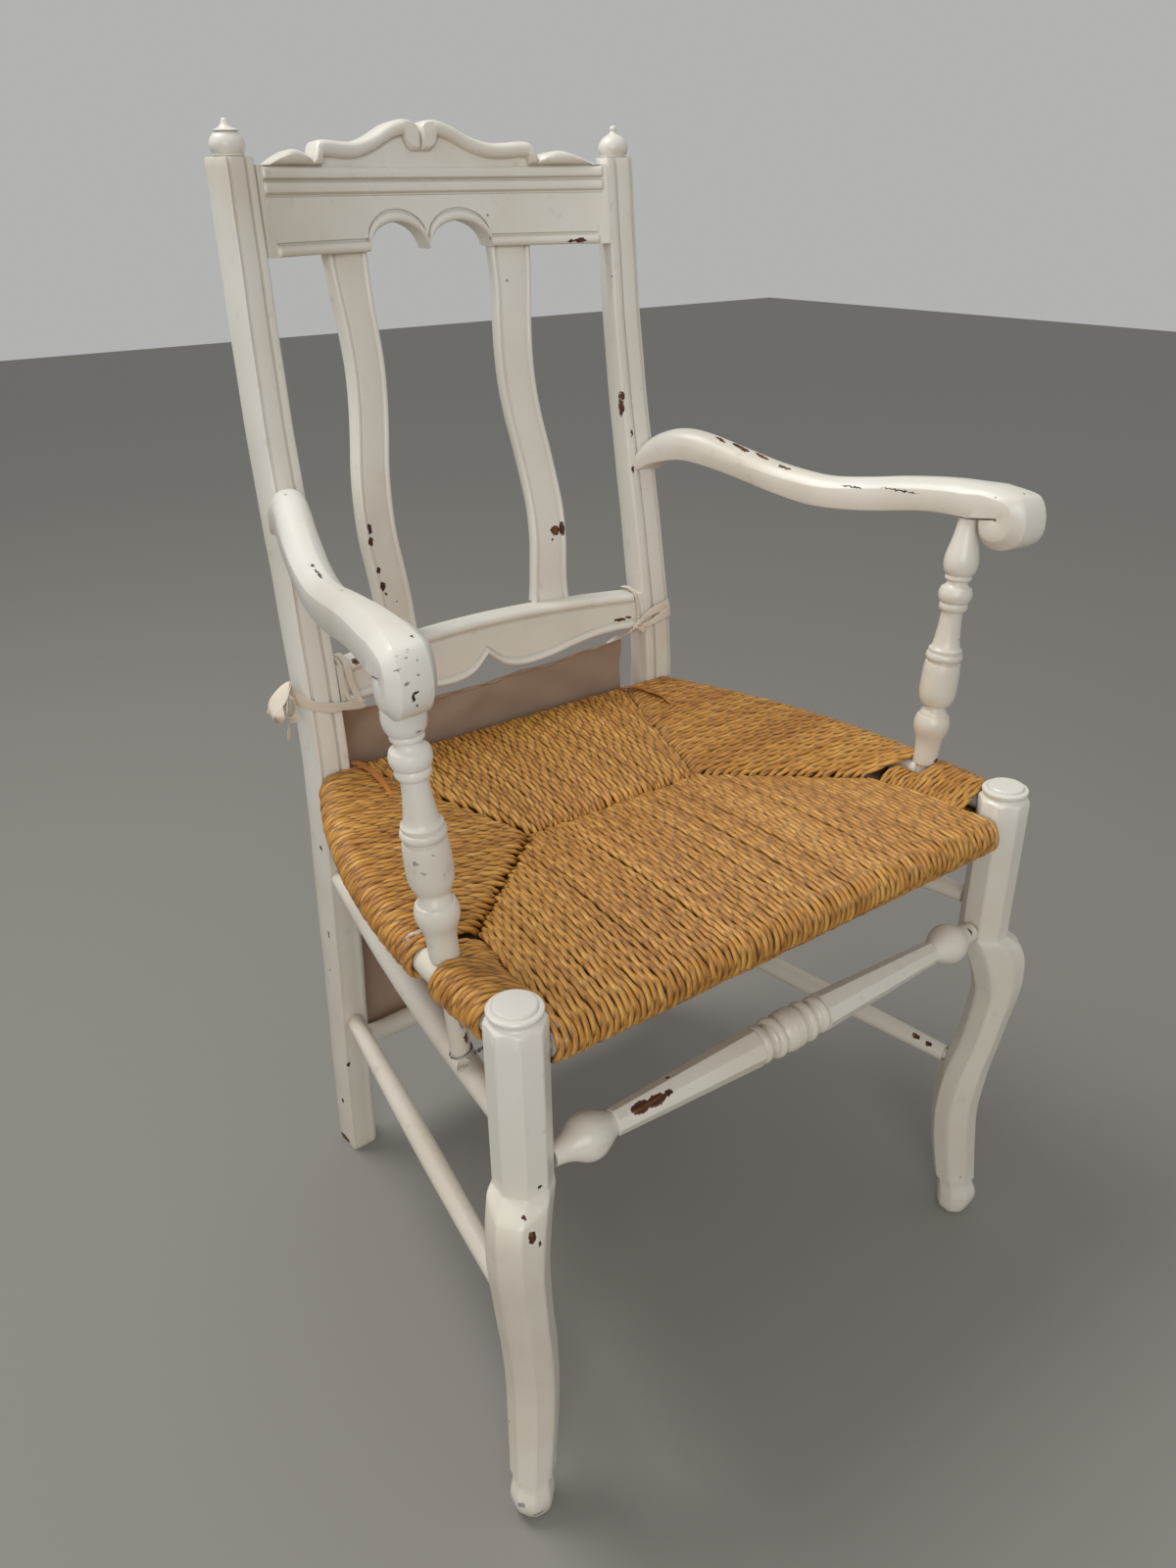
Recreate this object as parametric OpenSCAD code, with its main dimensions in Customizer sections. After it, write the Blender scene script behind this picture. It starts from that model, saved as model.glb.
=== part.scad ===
// Painted rush-seated armchair: turned and carved wooden frame, rush seat, cloth tied behind the seat.
// Millimetres, +Z up, floor at Z = 0, front of the chair towards -Y, origin under its middle.
// The pieces are measured from a line across the chair, and placed() then centres them.

/* [Overall] */
// Height of the top of the rear posts, without the finials
post_top_z = 984; // [975:1:990]
// Distance between the two front leg axes
front_leg_spacing = 508; // [500:2:516]
// Distance between the two rear post axes at seat height
rear_post_spacing = 381; // [376:1:386]
// Distance from the measuring line forward to the front leg axes
front_leg_y = 228; // [224:1:232]

/* [Front legs] */
// Width of the octagonal upper block across its flats
leg_block_w = 41; // [39:0.5:43]
// Height of the shoulder where the block meets the curved lower leg
leg_shoulder_z = 343; // [338:1:348]
// Height of the turned cap on the leg
leg_top_z = 493; // [488:1:498]
// How far the knee swings out along the diagonal
knee_swing = 20; // [14:1:24]

/* [Rear posts] */
// Width of a rear post at the seat
post_w = 31; // [29:0.5:33]
// Depth of a rear post at the seat
post_d = 32; // [30:0.5:34]
// Depth of the two moulded grooves on the front of a post
post_groove = 1.2; // [0.6:0.1:1.8]

/* [Back] */
// How far the middle of the crest rail stands behind its ends
crest_sag = 46; // [40:1:50]
// Thickness of the crest rail
crest_t = 20; // [18:1:22]
// Height of the bottom edge of the crest rail
crest_bottom_z = 912; // [908:1:916]
// Height of the top edge of the lower back rail
low_rail_top_z = 580; // [576:1:584]
// Width of each splat
splat_w = 37; // [35:0.5:39]
// Thickness of each splat
splat_t = 13; // [11:0.5:15]

/* [Arms] */
// Width of an arm at its scroll
scroll_w = 33; // [31:1:36]
// Radius of the scroll at the front of an arm
scroll_r = 23; // [21:0.5:24.5]

/* [Rails and stretchers] */
// Radius of the round seat rails
rail_r = 11; // [10:0.5:12]
// Height of the axis of the front seat rail
front_rail_z = 452; // [450:1:455]
// Height of the axis of the side seat rails
side_rail_z = 469; // [467:1:470]
// Height of the axis of the upper side stretchers
upper_stretcher_z = 372; // [366:1:378]
// Height of the axis of the lower side stretchers
lower_stretcher_z = 187; // [180:1:194]
// Height of the axis of the rear stretcher
rear_stretcher_z = 146; // [140:1:152]
// Height of the axis of the turned front stretcher
front_stretcher_z = 351; // [349:1:356]

/* [Seat and cloth] */
// Thickness of the rush wound over the rails
rush_t = 6; // [5:0.5:7]
// Height of the ridge in the middle of the seat
ridge_z = 467; // [462:1:472]
// Height of the top edge of the cloth at the posts
cloth_top_z = 532; // [526:1:538]
// Height of the bottom edge of the cloth
cloth_bottom_z = 128; // [120:1:136]

/* [Hidden] */
$fn = 48;

paint = "#dedacf";
rush_colour = "#b98d52";
cane_colour = "#b3661f";
linen = "#b9a197";
tape = "#d8cbbb";
steel = "#77756f";

gap = 0.1;          // working clearance round a tenon in its mortise
depth_centre = 17.5;    // from the line that the depths are measured from back to the middle of the chair
leg_x = front_leg_spacing / 2;
leg_y = -front_leg_y;
post_x = rear_post_spacing / 2;

// ---------------------------------------------------------------- helpers

// Smooth value at t through a list of [station, value] pairs, stations rising.
function slot_of(tab, t, i = 0) = (i >= len(tab) - 2 || t < tab[i + 1][0]) ? i : slot_of(tab, t, i + 1);
function slope(tab, i) =
    i == 0 ? (tab[1][1] - tab[0][1]) / (tab[1][0] - tab[0][0]) :
    i == len(tab) - 1 ? (tab[i][1] - tab[i - 1][1]) / (tab[i][0] - tab[i - 1][0]) :
    (tab[i + 1][1] - tab[i - 1][1]) / (tab[i + 1][0] - tab[i - 1][0]);
function hermite(u, a, b, ma, mb) =
    a * (1 + u * u * (2 * u - 3)) + b * u * u * (3 - 2 * u) + ma * u * (1 - u) * (1 - u) - mb * u * u * (1 - u);
function curve(tab, t) =
    let (i = slot_of(tab, t), h = tab[i + 1][0] - tab[i][0], u = (t - tab[i][0]) / h)
    t <= tab[0][0] ? tab[0][1] : t >= tab[len(tab) - 1][0] ? tab[len(tab) - 1][1] :
    hermite(u, tab[i][1], tab[i + 1][1], slope(tab, i) * h, slope(tab, i + 1) * h);
function spaced(a, b, n) = [for (i = [0:n]) a + (b - a) * i / n];

// Closed solid through rings of points; each ring runs anticlockwise seen from its far end.
module loft(rings) {
    n = len(rings[0]);
    m = len(rings);
    walls = [for (i = [0:m - 2], j = [0:n - 1])
        [i * n + j, (i + 1) * n + j, (i + 1) * n + (j + 1) % n, i * n + (j + 1) % n]];
    first = [for (j = [0:n - 1]) j];
    last = [for (j = [n - 1:-1:0]) (m - 1) * n + j];
    polyhedron(points = [for (r = rings) each r], faces = concat([first], walls, [last]), convexity = 8);
}

function unit(v) = v / norm(v);
function tangent(p, i) = unit(p[min(i + 1, len(p) - 1)] - p[max(i - 1, 0)]);

// Turned piece along +Z from a list of [height, radius] points.
module turned(profile) {
    rotate_extrude() polygon(concat([[0, profile[0][0]]], [for (p = profile) [p[1], p[0]]],
        [[0, profile[len(profile) - 1][0]]]));
}

// Puts a piece that runs along +Z on the line from one point to another.
module along(a, b) {
    v = b - a;
    translate(a) rotate([0, acos(v.z / norm(v)), atan2(v.y, v.x)]) children();
}
module both_sides(left) {
    if (left) mirror([1, 0, 0]) children(); else children();
}
// Sets a finished piece so that the middle of the chair's depth is at Y = 0.
module placed(left = false) {
    translate([0, -depth_centre, 0]) both_sides(left) children();
}

// ---------------------------------------------------------------- rear posts

// Front face of the post: forward at the seat, raked back above it and splayed back below.
front_face = [[0, 212], [120, 201], [300, 182], [430, 171], [500, 168.5], [560, 173],
    [650, 187], [750, 204.5], [850, 217.5], [984, 229]];
function post_front(z) = curve(front_face, z);
function post_mid_x(z) = curve([[0, post_x - 1], [480, post_x + 0.5], [984, post_x - 7.5]], z);
function post_width(z) = curve([[0, post_w - 0.4], [480, post_w + 0.5], [984, post_w - 4.2]], z);
function post_depth(z) = curve([[0, post_d], [480, post_d + 1], [984, post_d - 4]], z);
function post_turn(z) = curve([[0, 3], [480, 5], [984, 15]], z);
groove_in = 0.33;   // share of the width from the inner edge to the first groove
groove_out = 0.9;   // share of the width from the inner edge to the second groove

function post_ring(z) =
    let (w = post_width(z), d = post_depth(z), g = post_groove * min(1, max(0, (z - 470) / 20)),
        c = 2.2 + 3 * min(1, max(0, (460 - z) / 20)), b = 2,
        u0 = -w / 2, g1 = u0 + groove_in * w, g2 = u0 + groove_out * w,
        x = post_mid_x(z), y = post_front(z), a = -post_turn(z),
        flat = [[u0 + c, 0], [g1 - 1, 0], [g1, g], [g1 + 1, 0], [g2 - 1, 0], [g2, g], [g2 + 1, g / 3],
            [w / 2 - c / 2, g / 3], [w / 2, c], [w / 2, d - b], [w / 2 - b, d], [u0 + b, d], [u0, d - b], [u0, c]])
    [for (p = flat) [x + p[0] * cos(a) - p[1] * sin(a), y + p[0] * sin(a) + p[1] * cos(a), z]];

post_rings = concat(spaced(0, 440, 8), spaced(455, 495, 4), spaced(520, post_top_z, 20));

function post_centre(z) = let (a = -post_turn(z), d = post_depth(z) / 2)
    [post_mid_x(z) - d * sin(a), post_front(z) + d * cos(a), z];

module rear_post() {
    difference() {
        loft([for (z = post_rings) post_ring(z)]);
        translate(post_centre(post_top_z - finial_pin)) cylinder(h = finial_pin + 1, r = finial_pin_r + gap);
        crest_tenon(gap);
        low_rail_tenon(gap);
        back_rail_bar(gap);
        side_rail_bar(gap);
        side_stretcher_bar(upper_rear, upper_front, stretcher_end_r + gap);
        side_stretcher_bar(lower_rear, lower_front, stretcher_end_r + gap);
        rear_stretcher_bar(stretcher_end_r + gap);
        arm_dowel(gap);
    }
}

// ---------------------------------------------------------------- finials

finial_pin = 14;
finial_pin_r = 5;
module finial() {
    translate(post_centre(post_top_z)) turned(concat(
        [[-finial_pin, finial_pin_r], [0, finial_pin_r], [0, 10.5], [1.2, 11.5]],
        [for (a = [-20:15:70]) [8 + 8.4 * sin(a), 4.6 + 9 * cos(a)]],
        [[18.2, 5], [19.2, 3.4], [20.5, 2.5], [21.2, 2.2], [22, 3], [23.4, 3.4], [24.8, 2.9], [26, 0.8]]));
}

// ---------------------------------------------------------------- curved back rails

// Front face of a curved rail: an arc in plan through both ends, set back in the middle by the sag.
crest_half = post_mid_x(940) - post_width(940) / 2;
low_half = post_mid_x(555) - post_width(555) / 2;
low_sag = 33;
function arc_radius(half, sag) = (half * half + sag * sag) / (2 * sag);
function arc_y(x, half, sag) = let (r = arc_radius(half, sag)) sqrt(r * r - x * x) - (r - sag);
crest_end_y = post_front(940) + 1;
low_end_y = post_front(555) + 2;
crest_lean = 0.08;  // how far the crest rail leans back for each millimetre of height
low_lean = 0.14;    // the same for the lower rail
low_t = 19;
function crest_y(x, z) = crest_end_y + arc_y(x, crest_half, crest_sag) + (z - 940) * crest_lean;
function low_y(x, z) = low_end_y + arc_y(x, low_half, low_sag) + (z - 555) * low_lean;

// Distance from the middle to a post's inner face, at a depth and height.
function inner_face_x(y, z) = let (t = post_turn(z), w = post_width(z) / 2)
    post_mid_x(z) - w * cos(t) + (y - post_front(z) - w * sin(t)) * tan(t);
// Ring of a rail brought flush with the inner face of the post at its end.
function flush(ring, side) = [for (p = ring) [side * (inner_face_x(p[1], p[2]) - gap), p[1], p[2]]];

// Crest rail: double arch below, reeds along the front, scrolls above.
crest_top_z = 977;
arch_rise = 20;
arch_half = 30;
// Top edge of the crest against the distance from the middle.
lobe_top = [[0, 998], [4, 1006], [10, 1012], [18, 1013.5], [30, 1010], [48, 1001.5], [66, 996.5], [86, 996.5],
    [101, 996], [107, 990], [111, 980], [118, 986.5], [131, 989.5], [145, 985.5], [158, 980], [164, 978.5]];
function crest_outline(x) = abs(x) > 164 ? crest_top_z + 1.5 : curve(lobe_top, abs(x));
function arch(x) = abs(x) > 2 * arch_half ? 0 :
    arch_rise * sqrt(max(0, 1 - pow((abs(x) - arch_half) / arch_half, 2)));
crest_stations = concat(spaced(-crest_half + 3, -166, 1), [-160], spaced(-150, -112, 4), spaced(-108, -66, 5),
    [-61, -59.5, -57, -52, -45], spaced(-37, -8, 5), [-4, -1, 1, 4], spaced(8, 37, 5),
    [45, 52, 57, 59.5, 61], spaced(66, 108, 5), spaced(112, 150, 4), [160], spaced(166, crest_half - 3, 1));
reed_steps = [[975.5, 0], [973, 1.8], [970, 1.8], [967.5, -0.6], [964, 1.2], [959, 1.2], [956, 0]];
function crest_ring(x) =
    let (zt = crest_outline(x), zb = crest_bottom_z + arch(x), h = (zt - 976.2) / 13,
        e = abs(x) < 164 ? 1 : 0.05, roll = abs(x) < 109 ? 1 : abs(x) < 164 ? 0.5 : 0.1,
        front = concat([[zt, -4], [zt - 2 * min(1, h), 2 * roll], [zt - 6 * min(1, h), 4 * roll],
            [zt - 12 * min(1, h), 1.5 * roll]],
            [for (p = reed_steps) [p[0], p[1] * e]],
            [[zb + 10, 0], [zb + 8, 3 * e], [zb + 4, 4.4 * e], [zb, 2.4 * e]]))
    concat([[x, crest_y(x, zb) + crest_t, zb], [x, crest_y(x, zt) + crest_t, zt - 1]],
        [for (p = front) [x, crest_y(x, p[0]) - p[1], p[0]]]);
crest_rings = [for (x = crest_stations) crest_ring(x)];
crest_tenon_l = 16;
module crest_tenon(g) {
    for (s = [-1, 1]) translate([s * (crest_half + crest_tenon_l / 2 - 2), crest_end_y + 11, 942])
        cube([crest_tenon_l + 4 + 2 * g, 9 + 2 * g, 46 + 2 * g], center = true);
}
module crest_rail() {
    color(paint) difference() {
        union() {
            loft(concat([flush(crest_ring(-crest_half), -1)], crest_rings, [flush(crest_ring(crest_half), 1)]));
            crest_tenon(0);
        }
        for (left = [false, true]) both_sides(left) splat_mortise(splat_z1, splat_z1 - gap);
    }
}

// ---------------------------------------------------------------- lower back rail

low_bottom = [[0, 543], [6, 539], [16, 530.5], [28, 526], [45, 524.5], [70, 527.5], [100, 535], [130, 541.5],
    [155, 544], [175, 544]];
low_tenon_l = 16;
module low_rail_tenon(g) {
    for (s = [-1, 1]) translate([s * (low_half + low_tenon_l / 2 - 2), low_end_y + 10, 562])
        cube([low_tenon_l + 4 + 2 * g, 8 + 2 * g, 24 + 2 * g], center = true);
}
function low_ring(x) =
    let (zb = curve(low_bottom, abs(x)), zt = low_rail_top_z, e = abs(x) < low_half - 6 ? 1 : 0.05,
        front = [[zt, -3], [zt - 1.5, 2.2 * e], [zt - 5, 3.4 * e], [zt - 8.5, 2 * e], [zt - 10, 0],
            [zb + 9, 0], [zb + 7, 2.4 * e], [zb + 3.5, 3 * e], [zb, 1.6 * e]])
    concat([[x, low_y(x, zb) + low_t, zb], [x, low_y(x, zt) + low_t, zt]],
        [for (p = front) [x, low_y(x, p[0]) - p[1], p[0]]]);
low_stations = concat(spaced(-low_half + 4, -62, 10), spaced(-56, -8, 6), [-4, 0, 4], spaced(8, 56, 6),
    spaced(62, low_half - 4, 10));
module lower_back_rail() {
    color(paint) difference() {
        union() {
            loft(concat([flush(low_ring(-low_half), -1)], [for (x = low_stations) low_ring(x)],
                [flush(low_ring(low_half), 1)]));
            low_rail_tenon(0);
        }
        for (left = [false, true]) both_sides(left) splat_mortise(splat_z0, splat_z0 - tongue_l - gap);
    }
}

// ---------------------------------------------------------------- splats

splat_mid = [[580, 87], [610, 88], [640, 90.7], [670, 92.5], [700, 91], [730, 87.5], [760, 82.5], [790, 79],
    [820, 78], [850, 79.5], [880, 82], [912, 83]];
splat_face = [[580, 219], [610, 220], [640, 223], [670, 229.5], [700, 237], [730, 243.5], [760, 248.5],
    [790, 252], [820, 254.5], [850, 257.5], [880, 260.5], [912, 264.5]];
splat_flare = [[580, 2], [600, 0.5], [640, 0], [860, 0], [900, 1.5], [912, 2]];
splat_turn = 9.5;   // degrees that a splat's face turns in towards the middle
splat_z0 = low_rail_top_z;
splat_z1 = crest_bottom_z - gap;
// Ring of the splat at a height; its tongues are the same outline shrunk by k and moved up or down.
function splat_ring(z, k = 1, lift = 0) =
    let (w = splat_w / 2 + curve(splat_flare, z), x = curve(splat_mid, z), y = curve(splat_face, z), b = 6, g = 1.1,
        t = splat_t,
        flat = [[-w, 2], [-w + b * 0.3, -0.6], [-w + b * 0.7, -0.6], [-w + b, g], [-w + b * 1.3, 0.4],
            [w - b * 1.3, 0.4], [w - b, g], [w - b * 0.7, -0.6], [w - b * 0.3, -0.6], [w, 2],
            [w, t - 2], [w - 2, t], [-w + 2, t], [-w, t - 2]])
    [for (p = flat) let (u = p[0] * k, v = t / 2 + (p[1] - t / 2) * k)
        [x + u * cos(splat_turn) + v * sin(splat_turn), y - u * sin(splat_turn) + v * cos(splat_turn), z + lift]];
tongue_k = 0.6;     // size of a splat's tongue against the splat itself
tongue_l = 8;
module splat_mortise(z, z_low) {
    translate([curve(splat_mid, z), curve(splat_face, z), z_low]) rotate([0, 0, -splat_turn])
        translate([-splat_w / 2 * tongue_k - 1.8, splat_t * 0.16, 0])
            cube([splat_w * tongue_k + 3.6, splat_t * 0.68, tongue_l + 2 * gap]);
}
module splat() {
    color(paint) loft(concat(
        [splat_ring(splat_z0, tongue_k, -tongue_l), splat_ring(splat_z0, tongue_k)],
        [for (z = spaced(splat_z0, splat_z1, 18)) splat_ring(z)],
        [splat_ring(splat_z1, tongue_k), splat_ring(splat_z1, tongue_k, tongue_l)]));
}

// ---------------------------------------------------------------- arms

arm_mid = [[-190, 287], [-150, 281], [-100, 273], [-50, 263.5], [0, 252.5], [50, 240.5], [100, 226], [150, 210],
    [205, 193]];
arm_width = [[-170, 32], [-150, 31], [-100, 27], [-50, 25.5], [60, 25], [205, 25.5]];
arm_top = [[-165, 732], [-137, 735], [-112, 734], [-75, 730], [-37, 724], [-2, 720], [25, 721], [60, 726],
    [99, 736], [130, 744], [153, 746.5], [172, 743], [190, 733], [199, 722]];
arm_under = [[-165, 707], [-118, 707], [-92, 704.5], [-54, 698], [-16, 694], [16, 694], [52, 700], [89, 709],
    [129, 717], [152, 718], [181, 711], [199, 702]];
scroll_y = -172;
arm_support_y = -140;
arm_end_y = 197.5;
dowel_r = 5;

// Height of the front face of a post above the plane Y = 0, at a point across it.
function post_face_y(x, z) = post_front(z) - (x - post_mid_x(z)) * tan(post_turn(z));
function arm_ring(y) =
    let (x = curve(arm_mid, y), w = curve(arm_width, y) / 2, t = curve(arm_top, y), u = curve(arm_under, y),
        flat = [[w - 10, t], [w - 4, t - 3], [w, t - 9], [w, u + 3], [w - 3, u], [3 - w, u], [-w, u + 3],
            [-w, t - 9], [4 - w, t - 3], [10 - w, t]])
    [for (p = flat) [x + p[0], y < arm_end_y ? y : post_face_y(x + p[0], p[1]) - gap, p[1]]];
module arm_dowel(g) {
    translate([curve(arm_mid, arm_end_y), arm_end_y - 8, 712]) rotate([-90, 0, 0])
        cylinder(h = 22 + g, r = dowel_r + g);
}
module arm() {
    color(paint) difference() {
        union() {
            loft([for (y = concat(spaced(-165, 191, 24), [arm_end_y])) arm_ring(y)]);
            translate([curve(arm_mid, scroll_y), scroll_y, 733 - scroll_r]) rotate([0, 90, -9])
                cylinder(h = scroll_w, r = scroll_r, center = true);
            arm_dowel(0);
        }
        support_axis() cylinder(h = support_h + support_pin + gap, r = dowel_r + gap);
    }
}

// ---------------------------------------------------------------- turned arm supports

support_low = [248.2, arm_support_y, 392];
support_high = [273.6, arm_support_y, 706.2];
support_h = norm(support_high - support_low);
support_pin = 14;
support_rod_r = 7.5;
support_foot_pin = 16;
module support_axis() {
    along(support_low, support_high) children();
}
function up_support(z) = (z - 392) * support_h / 314.2;
support_shape = concat(
    [[-support_foot_pin, dowel_r], [0, dowel_r], [1, support_rod_r], [68, support_rod_r], [up_support(479.5), 7.5],
        [up_support(480.5), 10.8]],
    [for (i = [0:9]) let (z = 484 + 47 * i / 9) [up_support(z), 11 + 5 * sin(180 * pow((z - 484) / 47, 1.5))]],
    [[up_support(533), 9.6], [up_support(538), 9.6], [up_support(540), 14]],
    [for (i = [0:6]) let (u = i / 6) [up_support(543 + 33 * u), 15 + 1.8 * sin(170 * u)]],
    [[up_support(578), 14.6], [up_support(579), 13.6], [up_support(581), 15.4], [up_support(585), 15.6],
        [up_support(587), 14], [up_support(588.5), 14.6], [up_support(591), 13.6], [up_support(594), 12.2],
        [up_support(604), 10.8], [up_support(614), 9.7], [up_support(624), 9.4], [up_support(626), 11.6],
        [up_support(629), 12.2], [up_support(632), 11.6], [up_support(635), 13.4], [up_support(640), 14.3],
        [up_support(644.5), 13.4], [up_support(647), 10.6], [up_support(649.5), 9], [up_support(651.5), 9],
        [up_support(653), 11.2], [up_support(655.5), 11.2], [up_support(657), 11.8]],
    [for (i = [1:8]) let (u = i / 8) [up_support(657 + 38 * u), 11.8 + 3.1 * sin(110 * u) - 5.4 * u * u * u]],
    [[up_support(702), 9.5], [support_h, 9.8], [support_h, dowel_r], [support_h + support_pin, dowel_r]]);
module arm_support() {
    color(paint) support_axis() turned(support_shape);
}

// ---------------------------------------------------------------- front legs

leg_turn = 4;       // degrees that a leg is turned outwards
block_half = leg_block_w / 2;
knee_out = [[0, 14], [10, 15.5], [18, 16.5], [28, 15.5], [41, 12], [60, 9], [96, 4], [135, 1], [179, 4.5], [217, 12],
    [250, knee_swing - 3], [277, knee_swing + 0.5], [295, knee_swing - 0.5], [318, knee_swing - 4],
    [leg_shoulder_z - 4, 5], [leg_shoulder_z + 2, 3]];
knee_depth = [[0, 8], [3, 11.5], [10, 15.5], [18, 17.8], [28, 18.8], [41, 19], [96, 20.5], [135, 20.5], [179, 20.3],
    [217, 18.8], [250, 19.2], [277, 20.5], [295, 22.5], [318, 25], [leg_shoulder_z - 6, 24.5],
    [leg_shoulder_z, 22]];
knee_width = [[0, 10], [3, 13], [10, 15.6], [18, 16.8], [41, 17.3], [60, 17.8], [96, 19], [150, 19.8], [250, 20.6],
    [318, 21.4], [leg_shoulder_z, 21]];
function leg_ring(z) =
    let (s = curve(knee_out, z), d = curve(knee_depth, z), w = curve(knee_width, z), k = tan(22.5),
        flat = [[d, -k * w], [d, k * w], [k * d, w], [-k * d, w], [-d, k * w], [-d, -k * w], [-k * d, -w], [k * d, -w]])
    [for (p = flat) [(s + p[0]) * cos(-45) - p[1] * sin(-45), (s + p[0]) * sin(-45) + p[1] * cos(-45), z]];
block_top_z = leg_top_z - 12;
module leg_frame() {
    translate([leg_x, leg_y, 0]) rotate([0, 0, leg_turn]) children();
}
module front_leg() {
    color(paint) difference() {
        leg_frame() {
            loft([for (z = concat([0, 1.5, 4, 10, 18, 30, 44], spaced(60, leg_shoulder_z, 18))) leg_ring(z)]);
            translate([0, 0, leg_shoulder_z - 1]) rotate([0, 0, 22.5])
                cylinder(h = block_top_z - leg_shoulder_z + 1, r = block_half / cos(22.5), $fn = 8);
            translate([0, 0, block_top_z - 0.1]) turned([[0, 19.4], [2, 17.6], [4.5, 17.8], [6, 19.2], [8, 19.4],
                [9.2, 18.2], [9.4, 15.6], [11.5, 15.4], [12.1, 14.4]]);
        }
        front_rail_bar(gap);
        side_rail_bar(gap);
        side_stretcher_bar(upper_rear, upper_front, stretcher_end_r + gap);
        side_stretcher_bar(lower_rear, lower_front, stretcher_end_r + gap);
        front_stretcher_bar(gap);
    }
}

// ---------------------------------------------------------------- seat rails

rail_pin_r = 6;
rail_pin = 12;
leg_inner_x = leg_x - block_half;
post_inner_x = post_x + 0.3 - (post_w + 0.5) / 2;
module x_bar(half, r) {
    rotate([0, 90, 0]) cylinder(h = 2 * half, r = r, center = true);
}
module front_rail_bar(g) {
    translate([0, leg_y - 1, front_rail_z]) x_bar(leg_inner_x + rail_pin + g, rail_pin_r + g);
}
back_rail_y = 187;
back_rail_z = 457;
module back_rail_bar(g) {
    translate([0, back_rail_y, back_rail_z]) x_bar(post_inner_x + rail_pin + g, 5 + g);
}
module seat_rail_front() {
    color(paint) {
        front_rail_bar(0);
        translate([0, leg_y - 1, front_rail_z]) x_bar(leg_inner_x - 1.6, rail_r);
    }
}
module seat_rail_back() {
    color(paint) {
        back_rail_bar(0);
        translate([0, back_rail_y, back_rail_z]) x_bar(post_inner_x - 0.6, rail_r);
    }
}

// Side rails: an arc that bows outwards from the rear post to the leg block.
side_a = [189, 175];
side_b = [257, -212];
side_bow = 26;
side_chord = norm(side_b - side_a);
side_r = arc_radius(side_chord / 2, side_bow);
side_dir = (side_b - side_a) / side_chord;
side_out = [-side_dir[1], side_dir[0]];
side_centre = (side_a + side_b) / 2 + side_out * (side_bow - side_r);
side_mid_angle = atan2(side_out[1], side_out[0]);
side_half_angle = asin(side_chord / 2 / side_r);
// Distance of the rail's axis from the middle of the chair, at a station along it.
function side_rail_x(y) = side_centre[0] + sqrt(side_r * side_r - (y - side_centre[1]) * (y - side_centre[1]));
module side_arc(r, extra) {
    a = side_half_angle + extra;
    translate([side_centre[0], side_centre[1], side_rail_z]) rotate([0, 0, side_mid_angle - a])
        rotate_extrude(angle = 2 * a, $fn = 160) translate([side_r, 0]) circle(r = r, $fn = 32);
}
module side_rail_bar(g) {
    side_arc(rail_pin_r + g, 0.45 + g / 10);
}
module seat_rail_side() {
    color(paint) difference() {
        union() {
            side_rail_bar(0);
            difference() {
                side_arc(rail_r, 0);
                translate([post_mid_x(side_rail_z), post_front(side_rail_z) - 0.3, side_rail_z]) rotate([0, 0, -5])
                    translate([-40, 0, -40]) cube([80, 60, 80]);
                leg_frame() translate([-40, block_half - 80 + 0.3, side_rail_z - 40]) cube([80, 80, 80]);
            }
        }
        support_axis() cylinder(h = support_h / 2, r = support_rod_r + gap);
    }
}

// ---------------------------------------------------------------- stretchers

stretcher_end_r = 5.5;
upper_rear = [196, 186, upper_stretcher_z];
upper_front = [252.5, -219, upper_stretcher_z];
lower_rear = [191, 204, lower_stretcher_z];
lower_front = [255, -222, lower_stretcher_z];
rear_stretcher_y = 213;
rear_stretcher_half = 188;
module side_stretcher_bar(a, b, r) {
    along(a, b) cylinder(h = norm(b - a), r = r);
}
module rear_stretcher_bar(r) {
    translate([0, rear_stretcher_y, rear_stretcher_z]) x_bar(rear_stretcher_half, r);
}
// Round bar between two points, thickest in the middle, with a thin pin at each end.
module side_stretcher(a, b, pin_a, pin_b, r_end, r_mid) {
    l = norm(b - a);
    body = [for (i = [0:8]) let (u = i / 8) [pin_a + (l - pin_a - pin_b) * u, r_end + (r_mid - r_end) * sin(180 * u)]];
    along(a, b) turned(concat([[0, stretcher_end_r], [pin_a, stretcher_end_r]], body,
        [[l - pin_b, stretcher_end_r], [l, stretcher_end_r]]));
}
module upper_side_stretcher() {
    color(paint) difference() {
        side_stretcher(upper_rear, upper_front, 12, 13, 8, 13.5);
        translate([0, 0, -1]) support_axis() translate([0, 0, -support_foot_pin - gap])
            cylinder(h = support_foot_pin + 4, r = dowel_r + gap);
    }
}
module lower_side_stretcher() {
    color(paint) side_stretcher(lower_rear, lower_front, 12, 12, 8, 10.5);
}
module rear_stretcher() {
    l = post_inner_x - 1.2;
    color(paint) {
        rear_stretcher_bar(stretcher_end_r);
        translate([-l, rear_stretcher_y, rear_stretcher_z]) rotate([0, 90, 0])
            turned([for (i = [0:8]) [2 * l * i / 8, 10 + 2.2 * sin(180 * i / 8)]]);
    }
}

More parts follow.
